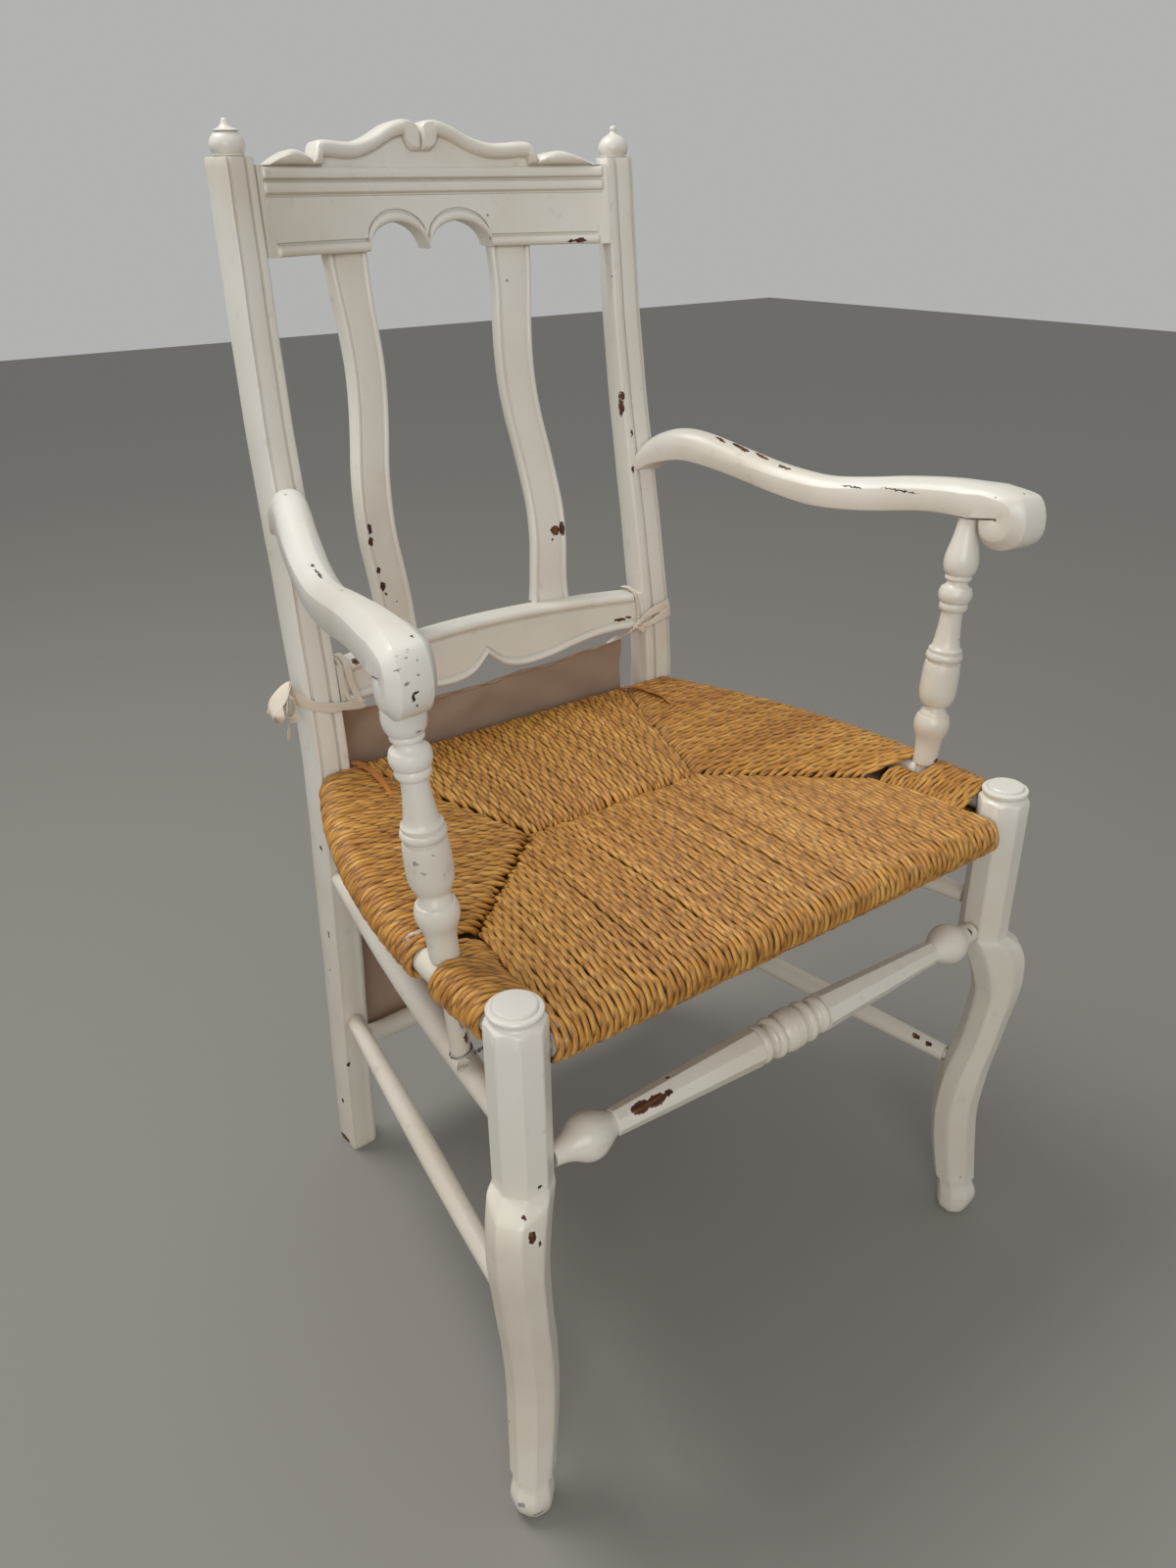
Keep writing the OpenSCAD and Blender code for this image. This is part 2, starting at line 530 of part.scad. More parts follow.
// Front stretcher: ball and rings in the middle, tapered octagonal arms, a bulb near each leg.
front_stretcher_y = leg_y - 2;
front_stretcher_half = leg_inner_x + 12;
module front_stretcher_bar(g) {
    translate([0, front_stretcher_y, front_stretcher_z]) x_bar(front_stretcher_half + g, stretcher_end_r + g);
}
stretcher_half_shape = concat([[0, 17.6], [3, 17.6], [7.5, 16.8], [11.5, 14.6], [12.5, 14], [13.5, 16], [17, 17.2],
    [20, 16], [21.5, 12.4], [24, 11.8], [27, 12.6], [28.5, 14.8], [32, 15.7], [35, 14.8], [36.5, 13]],
    [[40, 8], [172, 8], [177, 8.6]],
    [for (i = [0:10]) let (u = i / 10) [178 + 34 * u, 9 + 9 * sin(150 * pow(u, 1.15))]],
    [[216, 11.6], [221, 9.8], [227, 8.8], [leg_inner_x - 1.5, 8.6]]);
module front_stretcher() {
    color(paint) translate([0, front_stretcher_y, front_stretcher_z]) {
        for (s = [0, 180]) rotate([0, 90, s]) {
            turned(concat(stretcher_half_shape, [[leg_inner_x - 1.5, stretcher_end_r],
                [front_stretcher_half, stretcher_end_r]]));
            translate([0, 0, 36]) rotate([0, 0, 22.5])
                cylinder(h = 141, r1 = 14.75 / cos(22.5), r2 = 9.75 / cos(22.5), $fn = 8);
        }
    }
}

// ---------------------------------------------------------------- rush seat

roll_r = rail_r + rush_t;
side_top_z = side_rail_z + roll_r;
front_roll_y = leg_y - 1;
seam_x = 93;            // half the length of the ridge
seam_y = -3;            // station of the ridge
front_seam = [207, -105];   // where a front seam meets the side roll
back_seam = [157, 200];     // where a back seam meets the back roll
panel_edge_x = 224;     // half-width of the front panel at the front roll
function seam_at(y) = y < seam_y ?
    seam_x + (front_seam[0] - seam_x) * (seam_y - y) / (seam_y - front_seam[1]) :
    seam_x + (back_seam[0] - seam_x) * (y - seam_y) / (back_seam[1] - seam_y);
function roll_off(y, y0) = abs(y - y0) < roll_r ? sqrt(roll_r * roll_r - (y - y0) * (y - y0)) : 0;
front_crown = front_rail_z + roll_r;
back_crown = back_rail_z + roll_r;
// Height of the seat's top and underside along its middle.
function mid_top(y) = y < front_roll_y ? front_rail_z + roll_off(y, front_roll_y) :
    y > back_rail_y ? back_rail_z + roll_off(y, back_rail_y) :
    y < seam_y ? front_crown + (ridge_z - front_crown) * (y - front_roll_y) / (seam_y - front_roll_y) :
    ridge_z + (back_crown - ridge_z) * (y - seam_y) / (back_rail_y - seam_y);
function mid_under(y) = y < front_roll_y ? front_rail_z - roll_off(y, front_roll_y) :
    y > back_rail_y ? back_rail_z - roll_off(y, back_rail_y) :
    y < seam_y ? front_rail_z - roll_r + 5 * (y - front_roll_y) / (seam_y - front_roll_y) :
    back_rail_z - roll_r;
// Ring of the seat's cross-section at a station where the side rails are wound with rush.
function wound_ring(y) =
    let (xr = side_rail_x(y), xs = seam_at(y), t = mid_top(y), b = mid_under(y),
        arc = [for (i = [0:6]) let (a = 90 - 30 * i) [xr + roll_r * cos(a), side_rail_z + roll_r * sin(a)]],
        under = [for (i = [1:3]) let (u = i / 3)
            [xr + (xs - xr) * u, side_rail_z - roll_r + (b - side_rail_z + roll_r) * u]],
        over = [for (i = [1:2]) let (u = i / 3) [xs + (xr - xs) * u, t + (side_top_z - t) * u]],
        half = concat([[0, t], [xs, t]], over, arc, under, [[0, b]]))
    ring_both(half, y);
// Ring at a station where only the middle panel is wound, out to a given half-width.
function panel_ring(y, w, steps = 6) =
    let (t = mid_top(y), b = mid_under(y), h = (t - b) / 2, r = min(h, 9), c = min(0.8, h / 5),
        arc = [for (i = [0:steps]) let (a = 90 - 180 * i / steps) [w - r + r * cos(a), (t + b) / 2 + (h - c) * sin(a)]],
        half = concat([for (u = [0, 0.4, 0.6, 0.8]) [(w - r) * u, t - c * u * u]], arc,
            [for (u = [0.8, 0.6, 0.4, 0]) [(w - r) * u, b + c * u * u]]))
    ring_both(half, y);
function ring_both(half, y) = concat([for (p = half) [p[0], y, p[1]]],
    [for (i = [len(half) - 2:-1:1]) [-half[i][0], y, half[i][1]]]);
function panel_half(y) = front_seam[0] + (panel_edge_x - front_seam[0]) * (front_seam[1] - y) / 91;
back_panel_half = post_inner_x - 2;
side_from_y = 164;
module rush_body() {
    front = [for (a = [82:-20:2]) front_roll_y - roll_r * sin(a)];
    back = [for (a = [2:20:82]) back_rail_y + roll_r * sin(a)];
    loft(concat(
        [for (y = front) panel_ring(y, min(panel_edge_x, panel_half(max(y, -196))))],
        [for (y = spaced(front_roll_y + 2, front_seam[1] - 1, 6)) panel_ring(y, panel_half(max(y, -196)))],
        [for (y = spaced(front_seam[1], side_from_y, 10)) wound_ring(y)],
        [for (y = concat([side_from_y + 1, 176], back)) panel_ring(y, back_panel_half)]));
}
// Short turns of rush on the side rail between the arm support and the leg.
module short_turns() {
    intersection() {
        side_arc(roll_r - 1.5, 0);
        translate([180, -203, side_rail_z - 30]) cube([100, 51, 60]);
    }
    translate([208, -203, 447]) cube([40, 51, 20]);
}
module rush_seat() {
    color(rush_colour) difference() {
        union() {
            rush_body();
            for (left = [false, true]) both_sides(left) short_turns();
        }
        translate([0, leg_y - 1, front_rail_z]) x_bar(leg_inner_x + 5, rail_r + gap);
        translate([0, back_rail_y, back_rail_z]) x_bar(post_inner_x + 5, rail_r + gap);
        for (left = [false, true]) both_sides(left) {
            side_arc(rail_r + gap, 1);
            support_axis() cylinder(h = support_h / 2, r = 12);
            leg_frame() translate([0, 0, 400]) rotate([0, 0, 22.5])
                cylinder(h = 100, r = (block_half + 0.3) / cos(22.5), $fn = 8);
        }
    }
}

// ---------------------------------------------------------------- ribbons and cloth

// Flat strip along a path: width along w, thickness across it.
module ribbon(path, w, width, t) {
    rings = [for (i = [0:len(path) - 1])
        let (d = tangent(path, i), a = unit(w - (w * d) * d) * width / 2, b = cross(d, unit(a)) * t / 2)
        [path[i] - a - b, path[i] + a - b, path[i] + a + b, path[i] - a + b]];
    loft(rings);
}
// Peeled cane strip lying along a back seam of the rush.
module corner_strip() {
    path = [for (y = spaced(158, 100, 6)) let (xs = seam_at(y), u = 0.55)
        [xs + (side_rail_x(y) - xs) * u, y, mid_top(y) + (side_top_z - mid_top(y)) * u + 2]];
    color(cane_colour) ribbon(path, [1, 0, 0.3], 6, 1.2);
}
// Twist of wire round the left arm support, just above the stretcher.
wire_r = 0.7;
module wire_wrap() {
    color(steel) mirror([1, 0, 0]) support_axis() translate([0, 0, 3]) {
        rotate_extrude() translate([support_rod_r + wire_r + 0.3, 0]) circle(r = wire_r, $fn = 16);
        rotate([0, 0, 150]) translate([support_rod_r + wire_r, 0, 0]) rotate([0, 60, 0])
            cylinder(h = 10, r = wire_r);
    }
}
// Linen cloth hung behind the seat, tied to the rear posts.
cloth_face = [[120, 229], [146, 228], [300, 214], [430, 208], [540, 207]];
cloth_half = 170;
cloth_t = 1.4;
module back_cloth() {
    color(linen) loft([for (z = spaced(cloth_bottom_z, cloth_top_z - 8, 12)) let (y = curve(cloth_face, z))
        [[-cloth_half, y, z], [0, y + 1.5, z], [cloth_half, y, z], [cloth_half, y + cloth_t, z],
            [0, y + 1.5 + cloth_t, z], [-cloth_half, y + cloth_t, z]]]);
}
// Tape that ties the cloth to a post: a band round the post with its bow outside.
band_z = 542;
band_w = 7;
module tie() {
    c = post_centre(band_z);
    w = post_width(band_z) + 1.6;
    d = post_depth(band_z) + 1.6;
    color(tape) {
        translate(c) rotate([0, 0, -post_turn(band_z)]) difference() {
            cube([w + 1.6, d + 1.6, band_w], center = true);
            cube([w, d, band_w + 2], center = true);
        }
        ribbon([for (i = [0:6]) let (u = i / 6) c + [w / 2 + 0.6 + 20 * sin(170 * u), 2, 2 - 24 * u]],
            [0, 1, 0], 8, 1);
    }
}

// ---------------------------------------------------------------- parts

color(paint) placed(true) rear_post();  // rear_post_left
color(paint) placed() rear_post();  // rear_post_right
color(paint) placed(true) finial();  // finial_left
color(paint) placed() finial();  // finial_right
placed() crest_rail();
placed(true) splat();  // splat_left
placed() splat();  // splat_right
placed() lower_back_rail();
placed(true) arm();  // arm_left
placed() arm();  // arm_right
placed(true) arm_support();  // arm_support_left
placed() arm_support();  // arm_support_right
placed(true) front_leg();  // front_leg_left
placed() front_leg();  // front_leg_right
placed() front_stretcher();
placed(true) upper_side_stretcher();  // upper_side_stretcher_left
placed() upper_side_stretcher();  // upper_side_stretcher_right
placed(true) lower_side_stretcher();  // lower_side_stretcher_left
placed() lower_side_stretcher();  // lower_side_stretcher_right
placed() rear_stretcher();
placed() seat_rail_front();
placed() seat_rail_back();
placed(true) seat_rail_side();  // seat_rail_left
placed() seat_rail_side();  // seat_rail_right
placed() rush_seat();
placed(true) corner_strip();  // corner_strip_left
placed() corner_strip();  // corner_strip_right
placed() wire_wrap();
placed() back_cloth();
placed(true) tie();  // tie_left
placed() tie();  // tie_right
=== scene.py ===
import math

import bpy
import numpy as np
from mathutils import Matrix, Vector


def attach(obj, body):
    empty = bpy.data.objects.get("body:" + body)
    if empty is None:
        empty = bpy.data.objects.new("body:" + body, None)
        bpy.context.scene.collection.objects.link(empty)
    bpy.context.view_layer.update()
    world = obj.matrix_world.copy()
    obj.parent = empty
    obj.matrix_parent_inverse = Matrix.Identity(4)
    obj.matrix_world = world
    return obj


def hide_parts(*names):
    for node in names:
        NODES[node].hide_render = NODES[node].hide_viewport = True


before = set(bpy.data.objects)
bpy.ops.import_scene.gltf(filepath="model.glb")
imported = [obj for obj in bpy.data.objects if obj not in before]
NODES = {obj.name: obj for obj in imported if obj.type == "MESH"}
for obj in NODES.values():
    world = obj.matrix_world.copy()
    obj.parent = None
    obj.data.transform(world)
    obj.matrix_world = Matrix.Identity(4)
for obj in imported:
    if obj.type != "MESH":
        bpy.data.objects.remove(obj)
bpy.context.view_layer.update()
MM = 0.001
CENTRE_Y = 17.5    # the pieces are measured in mm from a line this far in front of the middle of the chair

# ---------------------------------------------------------------- camera, light and floor


def add_camera():
    """Camera where the chair was seen from: front left, above the arms, looking down at the seat."""
    data = bpy.data.cameras.new("camera")
    data.sensor_fit = "VERTICAL"
    data.sensor_height = 24.0
    data.lens = 18.107
    data.clip_start = 0.05
    camera = bpy.data.objects.new("camera", data)
    bpy.context.scene.collection.objects.link(camera)
    right = Vector((0.80591587, -0.59190299, -0.0122665))
    down = Vector((-0.2754863, -0.35659261, -0.89272001))
    forward = Vector((0.52402949, 0.72283647, -0.45044481))
    pose = Matrix((right, -down, -forward)).transposed().to_4x4()
    pose.translation = Vector((-0.57495, -0.77173, 0.95963))
    camera.matrix_world = pose
    bpy.context.scene.camera = camera


def area_light(name, place, aim, size, power, colour):
    data = bpy.data.lights.new(name, "AREA")
    data.shape = "DISK"
    data.size = size
    data.energy = power
    data.color = colour
    light = bpy.data.objects.new(name, data)
    bpy.context.scene.collection.objects.link(light)
    light.location = place
    light.rotation_euler = (Vector(aim) - Vector(place)).to_track_quat("-Z", "Y").to_euler()


def plain_material(name, colour, roughness):
    material = bpy.data.materials.new(name)
    material.use_nodes = True
    shader = material.node_tree.nodes["Principled BSDF"]
    shader.inputs["Base Color"].default_value = (*colour, 1)
    shader.inputs["Roughness"].default_value = roughness
    return material


def add_stage():
    """Soft light from above and behind, paler fill from the front left, and a plain pale floor."""
    bpy.context.scene.view_settings.view_transform = "Standard"
    world = bpy.data.worlds.new("studio")
    world.use_nodes = True
    world.node_tree.nodes["Background"].inputs["Color"].default_value = (0.86, 0.86, 0.85, 1)
    world.node_tree.nodes["Background"].inputs["Strength"].default_value = 0.52
    bpy.context.scene.world = world
    bpy.ops.mesh.primitive_plane_add(size=16, location=(0, 0, 0))
    floor = bpy.context.active_object
    floor.name = "floor"
    floor.data.materials.append(plain_material("floor", (0.27, 0.255, 0.235), 0.7))
    area_light("key", (-0.8, 0.9, 2.9), (0, 0, 0.5), 1.3, 37, (1, 0.985, 0.96))
    area_light("fill", (-1.7, -2.3, 1.6), (0, 0, 0.5), 1.7, 28, (1, 0.985, 0.955))


# ---------------------------------------------------------------- helpers for shapes, in millimetres


def curve(table, t):
    """Smooth value at t through [station, value] pairs; t may be an array."""
    xs = np.array([row[0] for row in table], float)
    ys = np.array([row[1] for row in table], float)
    steps = np.diff(xs)
    chord = np.diff(ys) / steps
    slopes = np.concatenate([[chord[0]], (ys[2:] - ys[:-2]) / (xs[2:] - xs[:-2]), [chord[-1]]])
    t = np.clip(np.asarray(t, float), xs[0], xs[-1])
    i = np.clip(np.searchsorted(xs, t, side="right") - 1, 0, len(xs) - 2)
    u = (t - xs[i]) / steps[i]
    return (ys[i] * (1 + u * u * (2 * u - 3)) + ys[i + 1] * u * u * (3 - 2 * u)
            + slopes[i] * steps[i] * u * (1 - u) ** 2 - slopes[i + 1] * steps[i] * u * u * (1 - u))


def ramp(x, low, high):
    """0 below low, 1 above high, smooth between."""
    u = np.clip((np.asarray(x, float) - low) / (high - low), 0, 1)
    return u * u * (3 - 2 * u)


def add_object(name, verts, faces, material, smooth_angle=35, uv=None, tone=None):
    """Mesh object from points in millimetres, smooth but for edges sharper than the angle."""
    mesh = bpy.data.meshes.new(name)
    verts = (np.asarray(verts, float) - (0, CENTRE_Y, 0)) * MM
    mesh.from_pydata(verts.tolist(), [], faces)
    mesh.materials.append(material)
    if uv is not None:
        layer = mesh.uv_layers.new(name="along")
        corners = np.empty(len(mesh.loops), np.int32)
        mesh.loops.foreach_get("vertex_index", corners)
        layer.data.foreach_set("uv", np.asarray(uv, np.float32)[corners].ravel())
    if tone is not None:
        attribute = mesh.attributes.new("tone", "FLOAT", "POINT")
        attribute.data.foreach_set("value", np.asarray(tone, np.float32))
    mesh.polygons.foreach_set("use_smooth", np.ones(len(mesh.polygons), bool))
    if smooth_angle is not None:
        mesh.set_sharp_from_angle(angle=math.radians(smooth_angle))
    mesh.update()
    piece = bpy.data.objects.new(name, mesh)
    bpy.context.scene.collection.objects.link(piece)
    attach(piece, "root")
    return piece


def loft_faces(stations, around, start=0):
    """Quads between successive rings of points, with a flat face on each end."""
    ring = np.arange(stations - 1)[:, None] * around
    point = np.arange(around)[None, :]
    after = (point + 1) % around
    quads = np.stack([ring + point, ring + after, ring + around + after, ring + around + point], -1)
    faces = (quads.reshape(-1, 4) + start).tolist()
    faces.append([start + n for n in range(around - 1, -1, -1)])
    faces.append([start + (stations - 1) * around + n for n in range(around)])
    return faces


def loft(name, rings, material, smooth_angle=35):
    """Closed skin through rings that all have the same number of points."""
    rings = np.asarray(rings, float)
    stations, around = rings.shape[:2]
    return add_object(name, rings.reshape(-1, 3), loft_faces(stations, around), material, smooth_angle)


def stand_for(piece, node):
    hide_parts(node)
    return piece


def mirrored(rings):
    """Rings of the left-hand piece from those of the right-hand one, keeping faces outwards."""
    flipped = np.asarray(rings, float).copy()
    flipped[..., 0] *= -1
    return flipped[:, ::-1]


def wooden(name, node, rings, along, smooth_angle):
    """Lofted piece in old paint that replaces a CAD node, with brush strokes along an axis."""
    return stand_for(loft(name, rings, paint_for(node, along), smooth_angle), node)


def wooden_pair(stem, rings, along, smooth_angle):
    """Right-hand piece from its rings, and the left-hand one as its mirror image."""
    wooden(stem + "_right_wood", stem + "_right", rings, along, smooth_angle)
    wooden(stem + "_left_wood", stem + "_left", mirrored(rings), along, smooth_angle)


# ---------------------------------------------------------------- materials


class Tree:
    """Short names for building a material's nodes."""

    def __init__(self, name):
        self.material = bpy.data.materials.new(name)
        self.material.use_nodes = True
        self.nodes = self.material.node_tree.nodes
        self.links = self.material.node_tree.links
        self.shader = self.nodes["Principled BSDF"]
        self.place = self.map(self.node("TexCoord", "Object", {}), location=(0, CENTRE_Y * MM, 0))

    def join(self, source, target):
        """Links a socket, or sets a plain number, vector or colour."""
        if isinstance(source, bpy.types.NodeSocket):
            self.links.new(source, target)
        elif isinstance(source, tuple) and len(target.default_value) == 4:
            target.default_value = (*source, 1)
        else:
            target.default_value = source

    def node(self, kind, output, settings, *values, **named):
        """Output of a new node with some settings, and inputs given in order or by name."""
        node = self.nodes.new("ShaderNode" + kind)
        for key, value in settings.items():
            setattr(node, key, value)
        for place, value in enumerate(values):
            self.join(value, node.inputs[place])
        for key, value in named.items():
            self.join(value, node.inputs[key.replace("_", " ")])
        return node.outputs[output]

    def math(self, kind, a, b=0.0, clamp=False):
        return self.node("Math", 0, {"operation": kind, "use_clamp": clamp}, a, b)

    def times(self, a, b):
        return self.math("MULTIPLY", a, b)

    def noise(self, place, scale, detail=2.0, rough=0.5, output="Fac"):
        return self.node("TexNoise", output, {}, Vector=place, Scale=scale, Detail=detail, Roughness=rough)

    def map(self, place, location=(0, 0, 0), rotation=(0, 0, 0), scale=(1, 1, 1), kind="POINT"):
        return self.node("Mapping", 0, {"vector_type": kind}, Vector=place, Location=location,
                         Rotation=rotation, Scale=scale)

    def part(self, vector, axis):
        return self.node("SeparateXYZ", axis, {}, vector)

    def openness(self, distance):
        """1 on open surfaces, less in hollows narrower than the distance, in metres."""
        return self.node("AmbientOcclusion", "AO", {"samples": 6}, Distance=distance)

    def nearest(self, place, spots):
        """Distance from the nearest of some ellipsoids, which is 1 at its surface. Each one is a centre and
        half-sizes in mm, with any turn about Z in degrees."""
        reach = None
        for x, y, z, half_x, half_y, half_z, *turn in spots:
            near = self.map(place, (x * MM, y * MM, z * MM), (0, 0, math.radians(sum(turn))),
                            (half_x * MM, half_y * MM, half_z * MM), kind="TEXTURE")
            far = self.node("VectorMath", "Value", {"operation": "LENGTH"}, near)
            reach = far if reach is None else self.math("MINIMUM", reach, far)
        return reach

    def shift(self, a, b, gain):
        """a + b * gain, for vectors."""
        return self.node("VectorMath", 0, {"operation": "MULTIPLY_ADD"}, b, (gain, gain, gain), a)

    def band(self, value, low, high):
        """0 at or under low, 1 at or over high (or the reverse when low is the larger)."""
        return self.node("MapRange", "Result", {"interpolation_type": "SMOOTHSTEP"}, Value=value,
                         From_Min=low, From_Max=high)

    def mix(self, share, a, b):
        return self.node("Mix", "Result", {"data_type": "RGBA"}, Factor=share, A=a, B=b)

    def bump(self, height, strength, distance, **normal):
        """Surface normal from a height; Normal is one to add it to."""
        return self.node("Bump", "Normal", {}, Strength=strength, Distance=distance, Height=height,
                         **normal)

    def finish(self, colour, roughness, normal):
        self.join(colour, self.shader.inputs["Base Color"])
        self.join(roughness, self.shader.inputs["Roughness"])
        self.links.new(normal, self.shader.inputs["Normal"])
        return self.material


PAINT_LIGHT = (0.80, 0.775, 0.705)
PAINT_WARM = (0.70, 0.655, 0.56)
# dark brown for fine grime, and for painted shade in the hollows
GRIME_AND_PAINTED_SHADE = (0.36, 0.31, 0.24)
BARE_DARK = (0.050, 0.014, 0.005)
BARE_LIGHT = (0.20, 0.066, 0.014)
UNDERCOAT = (0.30, 0.29, 0.31)
OLD_BLACK = (0.02, 0.018, 0.016)
# painted shade: darker, warmer paint below the seat
PAINTED_SHADE_BELOW_SEAT = (0.66, 0.595, 0.48)     # paint near the floor
SPECK = (0.10, 0.07, 0.05)

# Places where the paint has come off, by what shows there: brown wood, grey undercoat or a black mark.
# Each one is a centre and half-sizes in mm, with any turn about Z in degrees.
CHIPS = {
    "crest_rail": {
        "brown": [(142, 235, 915, 9, 4, 2.2), (134, 238, 914.5, 4, 4, 1.2)]},
    "rear_post_right": {
        "brown": [(174, 213, 774, 2.2, 5, 5), (173.5, 214, 763, 1.6, 6, 10)],
        "black": [(180, 205, 738, 1.2, 3, 5), (176, 198, 722, 1.5, 3, 3.5), (177, 197, 704, 1.5, 4, 4)]},
    "rear_post_left": {
        "brown": [(-206, 231, 5, 5, 11, 4)],
        "grey": [(-205.5, 200, 716, 2, 6, 8)],
        "black": [(-208, 185, 403, 3, 1.6, 3), (-207.7, 194, 300, 3, 1.6, 4.5), (-203, 199, 130, 2.2, 3, 3),
            (-206, 222, 66, 3, 2.6, 3.5), (-207, 205, 250, 3, 1, 1.6)]},
    "splat_left": {
        "brown": [(-104, 231, 683, 2.8, 4, 5), (-106, 229, 671, 3.4, 4, 5), (-103, 222.5, 645, 3, 4, 3.4),
            (-101.5, 220.5, 630, 3.6, 4, 4.4), (-99, 220.5, 622, 1.2, 4, 1.6)]},
    "splat_right": {
        "brown": [(97.5, 224.5, 649.5, 5.2, 4, 5.6), (105, 223, 650, 2.6, 6, 8),
            (93, 223, 641, 1.2, 4, 1.4)]},
    "lower_back_rail": {
        "brown": [(149, 183, 554.5, 7, 5, 2), (157, 178, 556, 5, 5, 1.6), (-152, 185, 578.5, 5.5, 6, 2.6)],
        "black": [(-60, 196, 577.5, 1.5, 3, 1), (20, 212, 578, 1.2, 3, 1)]},
    "arm_right": {
        "brown": [(219, 114, 740, 2, 9, 4, 4), (227, 94, 735, 4, 14, 5, 4), (234, 72, 729, 2.6, 12, 4, 4),
            (236.5, 45, 722.5, 1.4, 9, 2.4, 10), (254, -66, 729, 0.6, 12, 2, 10)],
        "black": [(247.5, -30, 716, 1.6, 18, 0.7, 12), (256, -80, 720, 1.6, 22, 0.7, 10),
            (285, -170, 731, 1.6, 1.6, 2), (278, -121, 733, 1.2, 1.2, 2)]},
    "arm_left": {
        "brown": [(-279, -177, 732, 1.3, 1.5, 1.2), (-275, -196, 700, 1.3, 3, 1.2)],
        "grey": [(-266, -60, 727, 1, 3, 1.2), (-298, -192, 721, 1.7, 3, 0.7), (-294, -196, 713, 2, 3, 0.8),
            (-288, -187, 728, 2.4, 1.6, 0.9), (-301, -180, 722, 1.5, 2.4, 0.8),
            (-291, -190, 725, 1.4, 1.2, 0.7), (-284, -192, 723, 1, 1.5, 0.6),
            (-296, -189, 727, 1, 1.2, 0.6), (-286, -194, 716, 0.8, 2, 0.7),
            (-270, -150, 733.5, 1.3, 2, 0.8)],
        "black": [(-248.4, 27, 721, 1.3, 3, 2.5, -12), (-252.5, 8, 721, 1, 13, 2.5, -12),
            (-278.5, -88, 720.5, 1.6, 10, 0.9, -8), (-291, -196, 703, 1.1, 3, 2.8),
            (-289, -196, 705.5, 1.8, 3, 0.9), (-288, -196, 697, 0.7, 3, 2.6)]},
    "arm_support_left": {
        "brown": [(-247, -147, 410, 1.8, 3, 6)],
        "grey": [(-276, -149, 567, 2, 3, 1.8), (-272, -152, 560, 1.6, 3, 1), (-266, -154, 573, 1.3, 3, 0.9),
            (-268, -152, 661, 2.4, 4, 0.9), (-259, -154, 556, 1, 3, 1.4), (-250, -147, 430, 2.4, 3, 13)]},
    "arm_support_right": {
        "brown": [(258, -148, 486, 6, 5, 2.2)],
        "black": [(268, -152, 600, 1, 3, 2), (262, -149, 524, 3, 3, 0.8)]},
    "front_leg_left": {
        "brown": [(-268.7, -259, 322, 3.6, 5, 5.4), (-270.5, -255, 336, 1.5, 4, 2.4),
            (-264, -259, 314, 1.2, 4, 3), (-281, -240, 6, 8, 8, 2.4)],
        "grey": [(-282, -247, 24, 3, 4, 2.4), (-272, -255, 12, 6, 5, 3), (-262, -247, 226, 1.4, 2, 3.4),
            (-276, -246, 120, 1.2, 2, 2)],
        "black": [(-253.6, -249, 350, 2.2, 3, 1.5)]},
    "front_leg_right": {
        "brown": [(272, -252, 330, 2.8, 3.6, 4), (268, -246, 5, 9, 8, 2.4)],
        "grey": [(276, -248, 40, 2, 3, 1.4)],
        "black": [(280, -247, 312, 2, 3, 2.6), (262, -249, 230, 1, 2, 2.4)]},
    "front_stretcher": {
        "brown": [(-156, -237, 360, 9, 5, 6), (-142, -238, 359.5, 9, 5, 5), (-131, -238, 360, 4, 4, 2),
            (-122, -226, 362.5, 1.8, 1.8, 2)],
        "black": [(223, -236, 357, 1.4, 4, 5)]},
    "lower_side_stretcher_right": {
        "brown": [(244, -180, 194, 2.4, 5, 3), (245.5, -195, 193, 2.4, 4, 3)]},
    "upper_side_stretcher_left": {
        "brown": [(-243, -128, 382, 4, 6, 3)],
        "grey": [(-247, -138, 384, 6, 5, 2.4)]},
    "seat_rail_left": {
        "grey": [(-258, -118, 478, 5, 5, 3), (-262, -124, 474, 3, 3, 2.4)]},
}
# Darker and paler colour inside a chip, and the colour of a ring round it: on brown chips a painted
# highlight along the broken paint edge, on the others warmer paint
CHIP_COLOURS = {
    "brown": (BARE_DARK, BARE_LIGHT, (0.84, 0.82, 0.78)),
    "grey": (UNDERCOAT, (0.45, 0.43, 0.42), PAINT_WARM),
    "black": (OLD_BLACK, BARE_DARK, PAINT_WARM),
}


